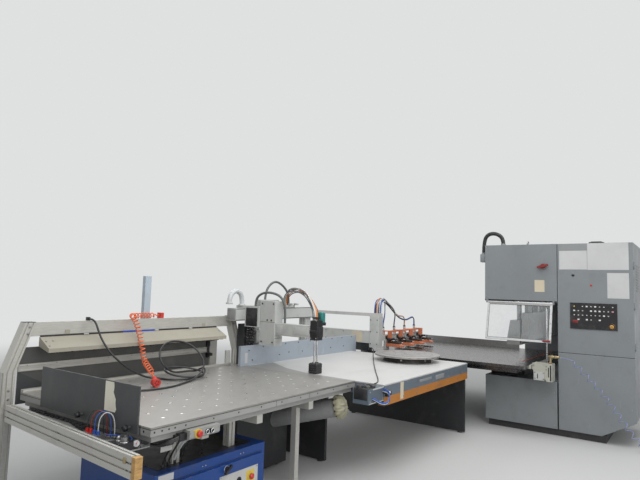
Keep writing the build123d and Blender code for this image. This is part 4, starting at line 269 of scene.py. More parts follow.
def paint(colour, rough=0.42, mottle=0.07, dirt=0.25, dirt_colour=(0.09, 0.08, 0.07)):
    """Sprayed enamel: uneven tone, grime in patches, rubbed corners and a fine orange peel."""
    s = Shader()
    tone = s.ramp(s.noise(1.7, 5), [(0.3, shade(colour, 1 - mottle)), (0.7, shade(colour, 1 + mottle))])
    patches = s.mask(s.noise(5.5, 8, rough=0.68), 0.52, 0.78, dirt)
    grimy = s.mix(patches, tone, dirt_colour)
    scuffs = s.mask(s.noise(26, 6, stretch=(1, 1, 0.16), shift=(3, 1, 2)), 0.66, 0.72, 0.35)
    scuffed = s.mix(scuffs, grimy, shade(colour, 1.35))
    rubbed = s.product(s.edges(0.006), s.mask(s.noise(16, 6), 0.48, 0.6, 0.5))
    gloss = s.ramp(s.noise(3.1, 6), [(0.3, (rough - 0.08,) * 3), (0.72, (rough + 0.14,) * 3)])
    s.surface(s.mix(rubbed, scuffed, BARE_METAL), gloss)
    s.bump(s.noise(260, 2), 0.05, 0.001)
    return s.material


def metal(colour, rough=0.34, grain=(1, 30, 30), stain=0.25, stain_colour=(0.16, 0.14, 0.12), bare=0.92):
    """Bare metal with a drawn grain along one axis and stains."""
    s = Shader()
    lines = s.noise(14, 7, stretch=grain)
    tone = s.ramp(lines, [(0.3, shade(colour, 0.84)), (0.7, shade(colour, 1.1))])
    stains = s.mask(s.noise(4.5, 8, rough=0.7, shift=(5, 2, 1)), 0.53, 0.8, stain)
    gloss = s.ramp(lines, [(0.25, (rough - 0.09,) * 3), (0.75, (rough + 0.13,) * 3)])
    s.surface(s.mix(stains, tone, stain_colour), gloss, bare)
    s.bump(lines, 0.06, 0.001)
    return s.material


def plastic(colour, rough=0.4, mottle=0.1):
    """Moulded plastic or rubber with a fine grain and dusty patches."""
    s = Shader()
    dusty = s.mask(s.noise(9, 6, rough=0.65), 0.5, 0.8, 0.18)
    tone = s.ramp(s.noise(3, 4), [(0.3, shade(colour, 1 - mottle)), (0.7, shade(colour, 1 + mottle))])
    gloss = s.ramp(s.noise(12, 5), [(0.3, (rough - 0.06,) * 3), (0.7, (rough + 0.12,) * 3)])
    s.surface(s.mix(dusty, tone, DUST), gloss)
    s.bump(s.noise(420, 2), 0.06, 0.0006)
    return s.material


def clear_pane():
    """Clear sheet, faintly scratched and greasy."""
    s = Shader()
    haze = s.ramp(s.noise(5, 7, rough=0.7), [(0.35, (0.05,) * 3), (0.75, (0.3,) * 3)])
    s.surface((0.5, 0.53, 0.54), haze)
    smear = s.mask(s.noise(3.2, 6, rough=0.7), 0.35, 0.8, 0.16)
    lift = s.node("ShaderNodeMath", {1: 0.1}, operation="ADD")
    s.link(smear, lift.inputs[0])
    s.link(lift.outputs[0], s.bsdf.inputs["Alpha"])
    s.bump(s.noise(60, 4, stretch=(1, 0.2, 1)), 0.03, 0.0005)
    return s.material


def laminate(colour):
    """White board of a table, worn grey by the piles that slide over it."""
    s = Shader()
    tone = s.ramp(s.noise(1.1, 5), [(0.3, shade(colour, 0.93)), (0.7, shade(colour, 1.03))])
    rubs = s.mask(s.noise(2.6, 8, stretch=(0.35, 1, 1), rough=0.66), 0.52, 0.8, 0.4)
    worn = s.mix(rubs, tone, shade(colour, 0.62))
    specks = s.mask(s.noise(38, 4, shift=(1, 7, 3)), 0.7, 0.76, 0.5)
    rim = s.product(s.edges(0.012), s.mask(s.noise(9, 5), 0.35, 0.6, 0.55))
    s.surface(s.mix(rim, s.mix(specks, worn, (0.25, 0.23, 0.2)), (0.2, 0.19, 0.18)), 0.38)
    s.bump(s.noise(90, 3), 0.04, 0.0008)
    return s.material


def wood(colour):
    """Sawn wood with rings along X."""
    s = Shader()
    rings = s.noise(22, 8, stretch=(1, 0.3, 3))
    tone = s.ramp(rings, [(0.3, shade(colour, 0.6)), (0.55, colour), (0.72, shade(colour, 1.25))])
    s.surface(tone, 0.7)
    s.bump(rings, 0.3, 0.002)
    return s.material


def make_finishes():
    """One material for each material slot of the record, and those of the added pieces."""
    made = dict(
        plinth_black=paint((0.03, 0.03, 0.032), 0.5, dirt=0.4, dirt_colour=(0.14, 0.13, 0.12)),
        cabinet_grey=paint((0.205, 0.222, 0.232), 0.4, mottle=0.06, dirt=0.2),
        frame_grey=paint((0.205, 0.22, 0.227), 0.44, dirt=0.3),
        panel_black=plastic((0.012, 0.012, 0.014), 0.3),
        stop_red=plastic((0.52, 0.025, 0.02), 0.26),
        stop_gold=plastic((0.62, 0.33, 0.06), 0.28),
        handle_red=plastic((0.2, 0.02, 0.02), 0.32),
        rail_grey=metal((0.56, 0.57, 0.57), 0.36, (30, 1, 30), bare=0.4),
        clear_pane=clear_pane(),
        steel=metal((0.34, 0.34, 0.335), 0.3, (1, 26, 26)),
        table_dark=metal((0.15, 0.145, 0.142), 0.26, (1, 6, 6), 0.4, (0.05, 0.045, 0.04)),
        stick_plastic=plastic((0.5, 0.09, 0.06), 0.5),
        stand_grey=paint((0.035, 0.037, 0.04), 0.5, dirt=0.35, dirt_colour=(0.12, 0.11, 0.1)),
        conduit_black=plastic((0.03, 0.03, 0.032), 0.48),
        bracket_white=paint((0.42, 0.42, 0.36), 0.42, mottle=0.1, dirt=0.6),
        hose_blue=plastic((0.2, 0.24, 0.43), 0.22),
        sheet_white=laminate((0.56, 0.555, 0.54)),
        rim_blue_grey=paint((0.12, 0.145, 0.175), 0.46, dirt=0.5),
        beam_orange=paint((0.42, 0.16, 0.025), 0.42, mottle=0.12, dirt=0.4),
        leg_dark=paint((0.022, 0.023, 0.025), 0.5, dirt=0.4, dirt_colour=(0.1, 0.09, 0.08)),
        hub_brown=paint((0.03, 0.024, 0.02), 0.5, dirt=0.4, dirt_colour=(0.1, 0.08, 0.06)),
        disc_grey=metal((0.36, 0.345, 0.335), 0.42, (1, 1, 20), 0.5, (0.15, 0.12, 0.1), 0.5),
        fence_blue_grey=paint((0.33, 0.37, 0.42), 0.42, mottle=0.06, dirt=0.3),
        box_blue_grey=paint((0.1, 0.13, 0.16), 0.45, dirt=0.5),
        air_sheet=metal((0.33, 0.32, 0.3), 0.42, (1, 9, 9), 0.4, (0.24, 0.21, 0.18), 0.55),
        rim_light=paint((0.31, 0.31, 0.295), 0.42, mottle=0.06, dirt=0.3),
        side_dark=paint((0.06, 0.064, 0.066), 0.5, mottle=0.08, dirt=0.25, dirt_colour=(0.13, 0.13, 0.12)),
        aluminium=metal((0.53, 0.52, 0.48), 0.38, (1, 30, 30), 0.35, (0.2, 0.18, 0.15), 0.45),
        plug_wood=wood((0.5, 0.3, 0.11)),
        valve_metal=metal((0.3, 0.3, 0.3), 0.4, (1, 1, 1), 0.5),
        cover_cream=paint((0.33, 0.31, 0.25), 0.45, mottle=0.05, dirt=0.3, dirt_colour=(0.25, 0.2, 0.13)),
        post_light=paint((0.42, 0.49, 0.55), 0.4, dirt=0.2),
        lead_orange=plastic((0.75, 0.16, 0.055), 0.34),
        connector_red=plastic((0.55, 0.04, 0.03), 0.3),
        cable_black=plastic((0.018, 0.018, 0.02), 0.42),
        base_blue=paint((0.006, 0.05, 0.23), 0.36, mottle=0.12, dirt=0.3),
        blower_black=paint((0.025, 0.026, 0.028), 0.5, dirt=0.4, dirt_colour=(0.1, 0.1, 0.09)),
        machine_light=paint((0.47, 0.48, 0.46), 0.4, mottle=0.06, dirt=0.35),
        head_black=paint((0.014, 0.014, 0.016), 0.36, dirt=0.3, dirt_colour=(0.08, 0.08, 0.08)),
        jaw_orange=paint((0.62, 0.2, 0.1), 0.4, mottle=0.14, dirt=0.4),
        paper_white=plastic((0.52, 0.52, 0.52), 0.6, mottle=0.04),
        paper_cream=plastic((0.58, 0.51, 0.38), 0.6, mottle=0.06),
        # Lighter copy of the cream paper: painted light for the patch on the air table's shaded side.
        paper_cream_lit=plastic((0.8, 0.77, 0.65), 0.6, mottle=0.05),
        panel_grey=paint((0.1, 0.1, 0.096), 0.5, mottle=0.08, dirt=0.4, dirt_colour=(0.2, 0.19, 0.17)),
        key_white=plastic((0.66, 0.67, 0.66), 0.35),
        key_pink=plastic((0.6, 0.28, 0.3), 0.35),
        key_yellow=plastic((0.65, 0.5, 0.08), 0.35),
        motor_teal=paint((0.01, 0.19, 0.17), 0.34, mottle=0.1, dirt=0.3),
        chrome=metal((0.75, 0.75, 0.76), 0.14, (1, 1, 1), 0.1),
        brass=metal((0.42, 0.34, 0.2), 0.3, (1, 1, 1), 0.3),
        cloth_pale=plastic((0.38, 0.36, 0.25), 0.75, mottle=0.16),
        tape_blue=plastic((0.02, 0.06, 0.4), 0.5),
        # Duct grey, darkened below its paint colour as painted shade for the duct under the table.
        duct_grey=paint((0.25, 0.255, 0.25), 0.42, dirt=0.4),
        deck_grey=paint((0.24, 0.24, 0.23), 0.5, mottle=0.1, dirt=0.6),
        plate_light=paint((0.5, 0.5, 0.48), 0.4, mottle=0.04, dirt=0.3),
        label_grey=plastic((0.24, 0.25, 0.25), 0.5, mottle=0.05),
        seam_grey=metal((0.36, 0.355, 0.34), 0.4, (1, 12, 12), 0.5, (0.2, 0.18, 0.16), 0.5),
        hose_grey=plastic((0.1, 0.11, 0.105), 0.35),
        hose_white=plastic((0.55, 0.57, 0.58), 0.3),
        hose_deep_blue=plastic((0.03, 0.09, 0.36), 0.3),
        hose_orange=plastic((0.55, 0.2, 0.06), 0.35),
    )
    for name, material in made.items():
        material.name = name
    return made


finishes = make_finishes()


def dress_nodes():
    """Gives each CAD node the material of its slot."""
    for entry in frame["record"]["subparts"]:
        materials = nodes[entry["node"]].data.materials
        materials.clear()
        materials.append(finishes[entry["material_slot"]])


# Faces of a node that have a finish of their own, each with two corners round them, in millimetres
REPAINTS = {
    "rear_panel": [
        ("panel_grey", (-5930, 2750, 700), (-3790, 2790, 1240)),
        ("aluminium", (-5901, 2760, 931), (-3959, 2776, 987)),
        ("aluminium", (-5926, 2618, 799), (-3797, 2656, 823)),
        ("plate_light", (-3859, 2634, 821), (-3797, 2656, 951)),
        ("aluminium", (-3975, 2754, 739), (-3878, 2776, 1181)),
    ],
    "guard_frame": [("steel", (-1160, 0, 1490), (-1095, 800, 1545))],
    "side_plate": [("panel_black", (-5976, 1300, 750), (-5933.5, 1860, 800))],
    "press_head": [("motor_teal", (-3576, 1617, 1289), (-3500, 1694, 1383))],
    "press_foot": [("chrome", (-3652, 1645, 900), (-3588, 1665, 1160))],
    "transfer_frame": [
        ("machine_light", (-3551, 2544, -1), (-3449, 2646, 1263)),
        ("machine_light", (-2611, 2544, -1), (-2509, 2646, 1263)),
    ],
    "air_blower": [
        ("duct_grey", (-4300, 1100, 300), (-3700, 1751, 800)),
        ("duct_grey", (-4300, 1850, 559), (-4100, 2050, 790)),
    ],
    "valve_unit": [
        ("panel_black", (-6091, 1189, 689), (-5989, 1301, 733)),
        ("hose_deep_blue", (-6040, 1490, 719), (-6010, 1554, 743)),
        ("stop_red", (-6040, 1566, 719), (-6010, 1630, 743)),
    ],
    "operator_box": [
        ("key_yellow", (-5631, 1100, 680), (-5569, 1105.2, 744)),
        ("panel_black", (-5546, 1095, 680), (-5472, 1105.2, 744)),
    ],
    "base_door": [
        ("plate_light", (-5191, 1312, 109), (-4799, 1317.2, 301)),
        ("key_yellow", (-4914, 1307, 200), (-4846, 1312.9, 268)),
    ],
    "feed_arm": [
        ("plate_light", (-1496, 2134, 1267), (-1404, 3176, 1311)),
        ("duct_grey", (-1516, 2134, 849), (-1384, 2276, 1267.5)),
        ("chrome", (-1300, 2200, 1009), (-180, 2246, 1101)),
        ("steel", (-1300, 1914, 805), (-180, 2186, 815)),
    ],
    "cutting_table": [("steel", (669, 880, 799), (701, 2430, 896))],
    "portal_frame": [
        ("panel_black", (-5414, 2690, 1304.5), (-5386, 2718, 1333)),
        ("connector_red", (-4691, 2672, 1304.5), (-4655, 2728, 1357)),
    ],
    "table_underframe": [("plate_light", (-5451, 1451, 520), (-5189, 1471, 649))],
    "lower_deck": [("deck_grey", (-6110, 1179, 683.5), (-5890, 2561, 690.5))],
    "junction_box": [("panel_black", (-3851, 903, 789.9), (-3799, 945, 817))],
    "end_bracket": [
        ("brass", (-1287, -85, 838), (-1253, 30, 937)),
        ("machine_light", (-1351, 50, 640), (-1330.5, 180, 760)),
    ],
}


def repaint(node, finish, low, high):
    """Gives those faces of a node that lie wholly between two corners another finish."""
    mesh = nodes[node].data
    mesh.materials.append(finishes[finish])
    index = len(mesh.materials) - 1
    for polygon in mesh.polygons:
        places = [mesh.vertices[number].co * 1000 for number in polygon.vertices]
        if all(low[axis] <= place[axis] <= high[axis] for place in places for axis in range(3)):
            polygon.material_index = index


def finish_piece(piece, body, finish):
    """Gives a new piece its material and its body."""
    piece.data.materials.append(finishes[finish])
    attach(piece, body)
    return piece


def mesh_piece(name, build, body, finish, bevel=0.0, smooth=True):
    """Makes a piece from a function that fills a bmesh, with softened edges."""
    bm = bmesh.new()
    build(bm)
    bmesh.ops.recalc_face_normals(bm, faces=bm.faces)
    mesh = bpy.data.meshes.new(name)
    bm.to_mesh(mesh)
    bm.free()
    piece = bpy.data.objects.new(name, mesh)
    bpy.context.scene.collection.objects.link(piece)
    for polygon in mesh.polygons:
        polygon.use_smooth = smooth
    if bevel:
        soft = piece.modifiers.new("soft edges", "BEVEL")
        soft.width = bevel
        soft.segments = 2
        soft.limit_method = "ANGLE"
    if smooth:
        flat = piece.modifiers.new("crisp", "EDGE_SPLIT")
        flat.split_angle = math.radians(38)
    return finish_piece(piece, body, finish)


def box(bm, low, high):
    """Box between two corners."""
    middle = (Vector(low) + Vector(high)) / 2
    size = Vector(high) - Vector(low)
    matrix = Matrix.Translation(middle) @ Matrix.Diagonal((*size, 1))
    bmesh.ops.create_cube(bm, size=1, matrix=matrix)


def rod(bm, start, end, radius, sides=20, end_radius=None):
    """Round bar or cone between two points."""
    start, end = Vector(start), Vector(end)
    axis = end - start
    matrix = Matrix.Translation((start + end) / 2) @ axis.to_track_quat("Z", "Y").to_matrix().to_4x4()
    bmesh.ops.create_cone(bm, cap_ends=True, segments=sides, radius1=radius, radius2=radius
        if end_radius is None else end_radius, depth=axis.length, matrix=matrix)


def bolt(bm, at, axis, radius, depth):
    """Hexagonal head on a washer."""
    at, axis = Vector(at), Vector(axis).normalized()
    rod(bm, at, at + axis * depth * 0.3, radius * 1.35, 16)
    rod(bm, at + axis * depth * 0.3, at + axis * depth, radius, 6, radius * 0.92)


def socket_screw(bm, at, axis, radius, depth):
    """Low cylinder head with a recessed middle."""
    at, axis = Vector(at), Vector(axis).normalized()
    turn = axis.to_track_quat("Z", "Y").to_matrix().to_4x4()
    matrix = Matrix.Translation(at + axis * depth / 2) @ turn
    made = bmesh.ops.create_cone(bm, cap_ends=True, segments=18, radius1=radius, radius2=radius * 0.94,
        depth=depth, matrix=matrix)
    tops = [face for face in bm.faces
        if face.normal.dot(axis) > 0.9 and face.verts[0] in made["verts"] and len(face.verts) > 8]
    bmesh.ops.inset_region(bm, faces=tops, thickness=radius * 0.45)
    verts = list(dict.fromkeys(vert for face in tops for vert in face.verts))
    bmesh.ops.translate(bm, vec=-axis * depth * 0.6, verts=verts)


# Cords

COIL_STEPS = 12


def nurbs(name, points, radius, fineness=8):
    """Smooth round cord along points that pull it."""
    curve = bpy.data.curves.new(name, "CURVE")
    curve.dimensions = "3D"
    curve.bevel_depth = radius
    curve.bevel_resolution = 4
    curve.resolution_u = fineness
    curve.use_fill_caps = True
    spline = curve.splines.new("NURBS")
    spline.points.add(len(points) - 1)
    for point, place in zip(spline.points, points):
        point.co = (*place, 1)
    spline.order_u = 3
    spline.use_endpoint_u = True
    cord = bpy.data.objects.new(name, curve)
    bpy.context.scene.collection.objects.link(cord)
    return cord


def line_of(points):
    """Points down the middle of the smooth route through the pulling points."""
    bare = nurbs("bare", points, 0)
    mesh = bpy.data.meshes.new_from_object(bare)
    line = [vertex.co.copy() for vertex in mesh.vertices]
    bpy.data.meshes.remove(mesh)
    bpy.data.objects.remove(bare)
    return line


def length_of(points):
    return sum((after - before).length for before, after in zip(points, points[1:]))


def cord_piece(name, route, radius, finish, body="line", fineness=8, slot=None, replaced=(), start=None,
               far_end="object", stiffness="stiff", lay="loose", **more):
    """Smooth round cord along a route; the length of that route is worked out and not used."""
    cord = finish_piece(nurbs(name, route, radius, fineness), body, finish)
    if replaced:
        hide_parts(*replaced)
    length_of(line_of(route))


def evenly(line, step):
    """The line again with points a step apart, each with its direction."""
    found = []
    travelled, wanted = 0.0, 0.0
    for before, after in zip(line, line[1:]):
        run = after - before
        while run.length > 0 and wanted <= travelled + run.length:
            found.append((before + run * ((wanted - travelled) / run.length), run.normalized()))
            wanted += step
        travelled += run.length
    return found


def helix_along(line, radius, pitch, straight, ease_over=0.07):
    """Points of a coil wound round a line, with straight tails at both ends that widen smoothly."""
    step = pitch / COIL_STEPS
    stations = evenly(line, step)
    side = stations[0][1].orthogonal().normalized()
    reach = step * (len(stations) - 1)
    points = [line[0]]
    for index, (place, along) in enumerate(stations):
        side = (side - along * side.dot(along)).normalized()
        other = along.cross(side)
        nearest = min(step * index - straight[0], reach - step * index - straight[1])
        share = min(1.0, max(0.0, nearest / ease_over))
        angle = 2 * math.pi * index / COIL_STEPS
        out = side * math.cos(angle) + other * math.sin(angle)
        if share > 0:
            points.append(place + out * radius * share * share * (3 - 2 * share))
    return points + [line[-1]]


def metres(*points):
    return [tuple(part / 1000 for part in point) for point in points]


# Air hose, straight out of the outlet at the end of the cutting table, then a spiral down to the floor
HOSE_ROUTE = metres((-1270, -84, 920), (-1270, -160, 920), (-1270, -204, 908), (-1270, -236, 876),
    (-1272, -345, 768), (-1274, -480, 624), (-1272, -610, 456), (-1266, -720, 290), (-1254, -806, 160),
    (-1222, -872, 78), (-1164, -922, 42), (-1085, -950, 33.3), (-1002, -956, 33.3))
HOSE_TUBE = 0.004
HOSE_COIL = 0.027
HOSE_PITCH = 0.098
PLUG_LINE = metres((-1003, -956, 15), (-943, -956, 15))

# Spiral lead, from its socket on the beam, over the cover and down to its connector
LEAD_ROUTE = metres((-4690, 2700, 1332.3), (-4950, 2700, 1332.3), (-4992, 2686, 1333.3),
    (-5012, 2650, 1335.3), (-5018, 2606, 1308), (-5016, 2576, 1268), (-5024, 2522, 1194), (-5034, 2474, 1114),
    (-5030, 2452, 1030), (-5038, 2408, 958), (-5080.5, 2257.2, 904.8), (-5102.3, 2194.8, 863.5))
LEAD_WIRE = 0.0048
LEAD_COIL = 0.0212
LEAD_PITCH = 0.0335

# Black cable: the clip on the beam, the air table, the loose turns and the tail on the table
CABLE_WIRE = 0.008
CABLE_LOW = 808.3
CABLE_DOWN = metres((-5400, 2691, 1319), (-5400, 2636, 1319), (-5396, 2590, 1287), (-5390, 2564, 1233),
    (-5380, 2532, 1172), (-5366, 2488, 1114), (-5336, 2450, 1052), (-5279, 2430, 992), (-5204, 2420, 932),
    (-5121, 2418, 883), (-5036, 2414, 843), (-4952, 2404, 818), (-4872, 2386, CABLE_LOW))
CABLE_TAIL = metres((-4800, 2155, CABLE_LOW), (-4890, 2088, CABLE_LOW), (-5006, 2040, CABLE_LOW),
    (-5140, 2026, CABLE_LOW), (-5268, 2046, CABLE_LOW), (-5380, 2100, CABLE_LOW), (-5476, 2178, CABLE_LOW))
COIL_MIDDLE = (-4.69, 2.312)
COIL_TURNS = 1.47
BIG_TURN = metres((-4500, 2372, 836), (-4546, 2412, 838), (-4640, 2408, 838), (-4750, 2368, 850),
    (-4848, 2332, 884), (-4908, 2318, 926), (-4926, 2342, 968), (-4900, 2402, 1018), (-4826, 2468, 1070),
    (-4724, 2506, 1102), (-4620, 2512, 1106), (-4528, 2482, 1086), (-4470, 2424, 1036), (-4452, 2362, 974),
    (-4470, 2300, 918), (-4536, 2238, 872), (-4640, 2182, 834), (-4740, 2140, 812))

# Thin signal cable from the rail of the feed arm to the junction box
SIGNAL_WIRE = 0.005
SIGNAL_LOW = 805.3


def table_turns():
    """Loose turns, each a little larger than the last and higher at its back."""
    points = []
    per_turn = 14
    for index in range(int(per_turn * COIL_TURNS) + 1):
        turn = index / per_turn
        angle = math.radians(196) + 2 * math.pi * turn
        wobble = 1 + 0.05 * math.sin(2.3 * angle + 1)
        rise = (0.012 + 0.075 * turn) * (1 + math.sin(angle)) / 2
        x = COIL_MIDDLE[0] + 0.01 * turn + (0.188 + 0.012 * turn) * wobble * math.cos(angle)
        y = COIL_MIDDLE[1] + (0.124 + 0.008 * turn) * wobble * math.sin(angle)
        points.append((x, y, TABLE_TOP + 0.0083 + 0.0165 * turn + rise))
    return points


def make_cable():
    """One cable from the clip to its end on the table, with its loose turns on the way."""
    points = CABLE_DOWN + table_turns() + BIG_TURN + CABLE_TAIL[1:]
    cord_piece("black_cable", points, CABLE_WIRE, "cable_black", replaced=("cable_run", "cable_coil"),
        far_end="bare", stiffness="medium", lay="coiled")


def make_spiral_hose():
    """Curly air hose with its plug on the floor."""
    line = line_of(HOSE_ROUTE)
    points = helix_along(line, HOSE_COIL, HOSE_PITCH, straight=(0.11, 0.02), ease_over=0.1)
    end = Vector(PLUG_LINE[0])
    points = points[:-1] + [end - Vector((0.02, 0, 0)), end]
    hose = finish_piece(nurbs("spiral_hose", points, HOSE_TUBE, 5), "line", "hose_blue")

    def plug(bm):
        rod(bm, end - Vector((0.004, 0, 0)), end + Vector((0.03, 0, 0)), 0.011, 6)
        rod(bm, end + Vector((0.028, 0, 0)), end + Vector((0.058, 0, 0)), 0.0065, 20)
        rod(bm, end + Vector((0.04, 0, 0)), end + Vector((0.048, 0, 0)), 0.0088, 20)

    made = mesh_piece("hose_plug", plug, "line", "brass", 0.0008)
    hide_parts("air_hose")
    length_of(line_of(points))


def make_orange_lead():
    """Curly orange lead from its socket on the beam to the round connector."""
    points = helix_along(line_of(LEAD_ROUTE), LEAD_COIL, LEAD_PITCH, straight=(0.012, 0.02))
    cord_piece("spiral_lead", points, LEAD_WIRE, "lead_orange", fineness=3, replaced=("orange_lead",),
        start=LEAD_ROUTE[0], far_end="connector", stiffness="medium", lay="hanging",
        with_pieces=["lead_connector"])


def signal_points():
    """The route of the signal cable, with its long easy bend across the transfer table."""
    start, pull, end = metres((-1640, 2135, SIGNAL_LOW), (-2600, 1600, SIGNAL_LOW), (-3500, 1022, SIGNAL_LOW))
    bend = []
    for index in range(1, 8):
        share = index / 8
        bend.append(tuple((1 - share) ** 2 * a + 2 * share * (1 - share) * b + share ** 2 * c
            for a, b, c in zip(start, pull, end)))
    first = metres((-1470, 2290, 838), (-1470, 2252, 838), (-1502, 2212, 820), (-1562, 2176, 809))
    last = metres((-3640, 948, SIGNAL_LOW), (-3730, 924, SIGNAL_LOW), (-3800, 924, SIGNAL_LOW))
    return first + [start] + bend + [end] + last


def make_signal_cable():
    """Thin cable across the transfer table."""
    cord_piece("thin_cable", signal_points(), SIGNAL_WIRE, "cable_black", replaced=("signal_cable",),
        stiffness="medium")


# Hoses of the transfer unit, fixed at both ends
HOSE_LANES = ((-27, 0, "cable_black"), (-9, 34, "hose_white"), (9, 14, "hose_orange"),
    (27, -16, "cable_black"), (-18, 17, "cable_black"), (0, 28, "paper_cream"), (18, -4, "hose_orange"),
    (-22, -8, "hose_white"))


def make_head_hoses():
    """Bundle from the carrier to the press head, the thick hose over the mast and the carrier loop."""
    on_head = {"body": "carriage", "slot": "cable_black", "replaced": ("head_hoses",)}
    for number, (lane, rise, finish) in enumerate(HOSE_LANES):
        along, across = 0.82 * lane, -0.57 * lane
        route = metres((-2960 + along, 2590 + across, 1420), (-2960 + along, 2590 + across, 1486),
            (-3040 + along, 2492 + across, 1556 + rise), (-3180 + along, 2310 + across, 1590 + rise),
            (-3330 + along, 2092 + across, 1588 + rise), (-3470 + along, 1890 + across, 1550 + rise),
            (-3572 + along, 1742 + across, 1460 + rise / 2), (-3624 + along, 1663 + across, 1386),
            (-3624 + along, 1663 + across, 1310))
        cord_piece(f"bundle_hose_{number + 1}", route, 0.0055, finish, **on_head)
    cord_piece("mast_hose", metres((-3680, 2410, 1420), (-3680, 2410, 1500), (-3666, 2334, 1562),
        (-3632, 2232, 1568), (-3600, 2136, 1532), (-3586, 2092, 1452), (-3584, 2084, 1360),
        (-3584, 2084, 1255)), 0.0128, "hose_grey", **on_head)
    cord_piece("carrier_loop", metres((-3330, 2590, 1420), (-3330, 2590, 1516), (-3286, 2590, 1630),
        (-3160, 2590, 1700), (-3014, 2590, 1648), (-2890, 2598, 1544), (-2890, 2598, 1420)), 0.013,
        "hose_grey", **on_head)


# Small fittings, in millimetres until they are built

def mm(place):
    return Vector(place) / 1000


def ring(bm, at, axis, radius, thick, steps=24, sides=8):
    """Round ring about an axis."""
    at, axis = Vector(at), Vector(axis).normalized()
    turn = Matrix.Translation(at) @ axis.to_track_quat("Z", "Y").to_matrix().to_4x4()
    start = turn @ Matrix.Translation((radius, 0, 0)) @ Matrix.Rotation(math.pi / 2, 4, "X")
    made = bmesh.ops.create_circle(bm, segments=sides, radius=thick, matrix=start)
    edges = list(dict.fromkeys(edge for vert in made["verts"] for edge in vert.link_edges))
    bmesh.ops.spin(bm, geom=made["verts"] + edges, cent=at, axis=axis, dvec=(0, 0, 0), angle=2 * math.pi,
        steps=steps, use_merge=True)


def paper(bm, corner, across, up, lift=4.0, thick=0.6, tear=0.0):
    """Sheet stuck to a face, with one corner that lifts and, if torn, a ragged right edge."""
    corner, across, up = mm(corner), mm(across), mm(up)
    out = across.cross(up).normalized()
    grid = bmesh.ops.create_grid(bm, x_segments=9, y_segments=9, size=0.5)
    for vert in grid["verts"]:
        u, v = vert.co.x + 0.5, vert.co.y + 0.5
        ragged = tear / 1000 * u * (math.sin(5.2 * v + 0.6) + 0.35 * math.sin(17 * v))
        curl = max(0.0, u + v - 1.62) ** 2 * lift / 144
        vert.co = corner + across * u + up * v + across.normalized() * ragged + out * (0.0004 + curl)
    faces = list(dict.fromkeys(face for vert in grid["verts"] for face in vert.link_faces))
    bm.normal_update()
    bmesh.ops.solidify(bm, geom=faces, thickness=thick / 1000)


def fitting(name, finish, body="line", blocks=(), bars=(), screws=(), bolts=(), rings=(), bevel=0.8,
            sides=20):
    """One piece from softened blocks, round bars, screw and bolt heads, and rings."""
    def build(bm):
        for low, high in blocks:
            box(bm, mm(low), mm(high))
        for start, end, radius, *rest in bars:
            rod(bm, mm(start), mm(end), radius / 1000, sides, *[part / 1000 for part in rest])
        for at, axis, radius, depth in screws:
            socket_screw(bm, mm(at), axis, radius / 1000, depth / 1000)
        for at, axis, radius, depth in bolts:
            bolt(bm, mm(at), axis, radius / 1000, depth / 1000)
        for at, axis, radius, thick in rings:
            ring(bm, mm(at), axis, radius / 1000, thick / 1000)
    return mesh_piece(name, build, body, finish, bevel / 1000)


def heads(axis, radius, depth, xs, ys, zs):
    """Screws, bolts or rings of one size at all places with these x, y and z, each one or several."""
    several = [(part,) if isinstance(part, (int, float)) else part for part in (xs, ys, zs)]
    return [(place, axis, radius, depth) for place in product(*several)]


def papers(name, finish, sheets, body="line"):
    """One piece from sheets stuck to a face."""
    def build(bm):
        for sheet in sheets:
            paper(bm, *sheet)
    mesh_piece(name, build, body, finish)


LEFT, FRONTWARD, UP = (-1, 0, 0), (0, -1, 0), (0, 0, 1)

# Faces that fittings stand on and middles that they share, in millimetres
CUTTER_FRONT = -1100
PANEL_FACE = -1108
PLATE_FACE = 1312.7
RIM_FACE = 845
FENCE_FACE = 2455
BEAM_FRONT = 2660
GUARD_TILT = math.radians(77)
RAIL_LEAN = math.tan(math.radians(4.5))
COVER_FALL = 78 / 150
DISC_MIDDLE = (-2020, 1455)
JAWS = (-1220, -890, -560, -230)


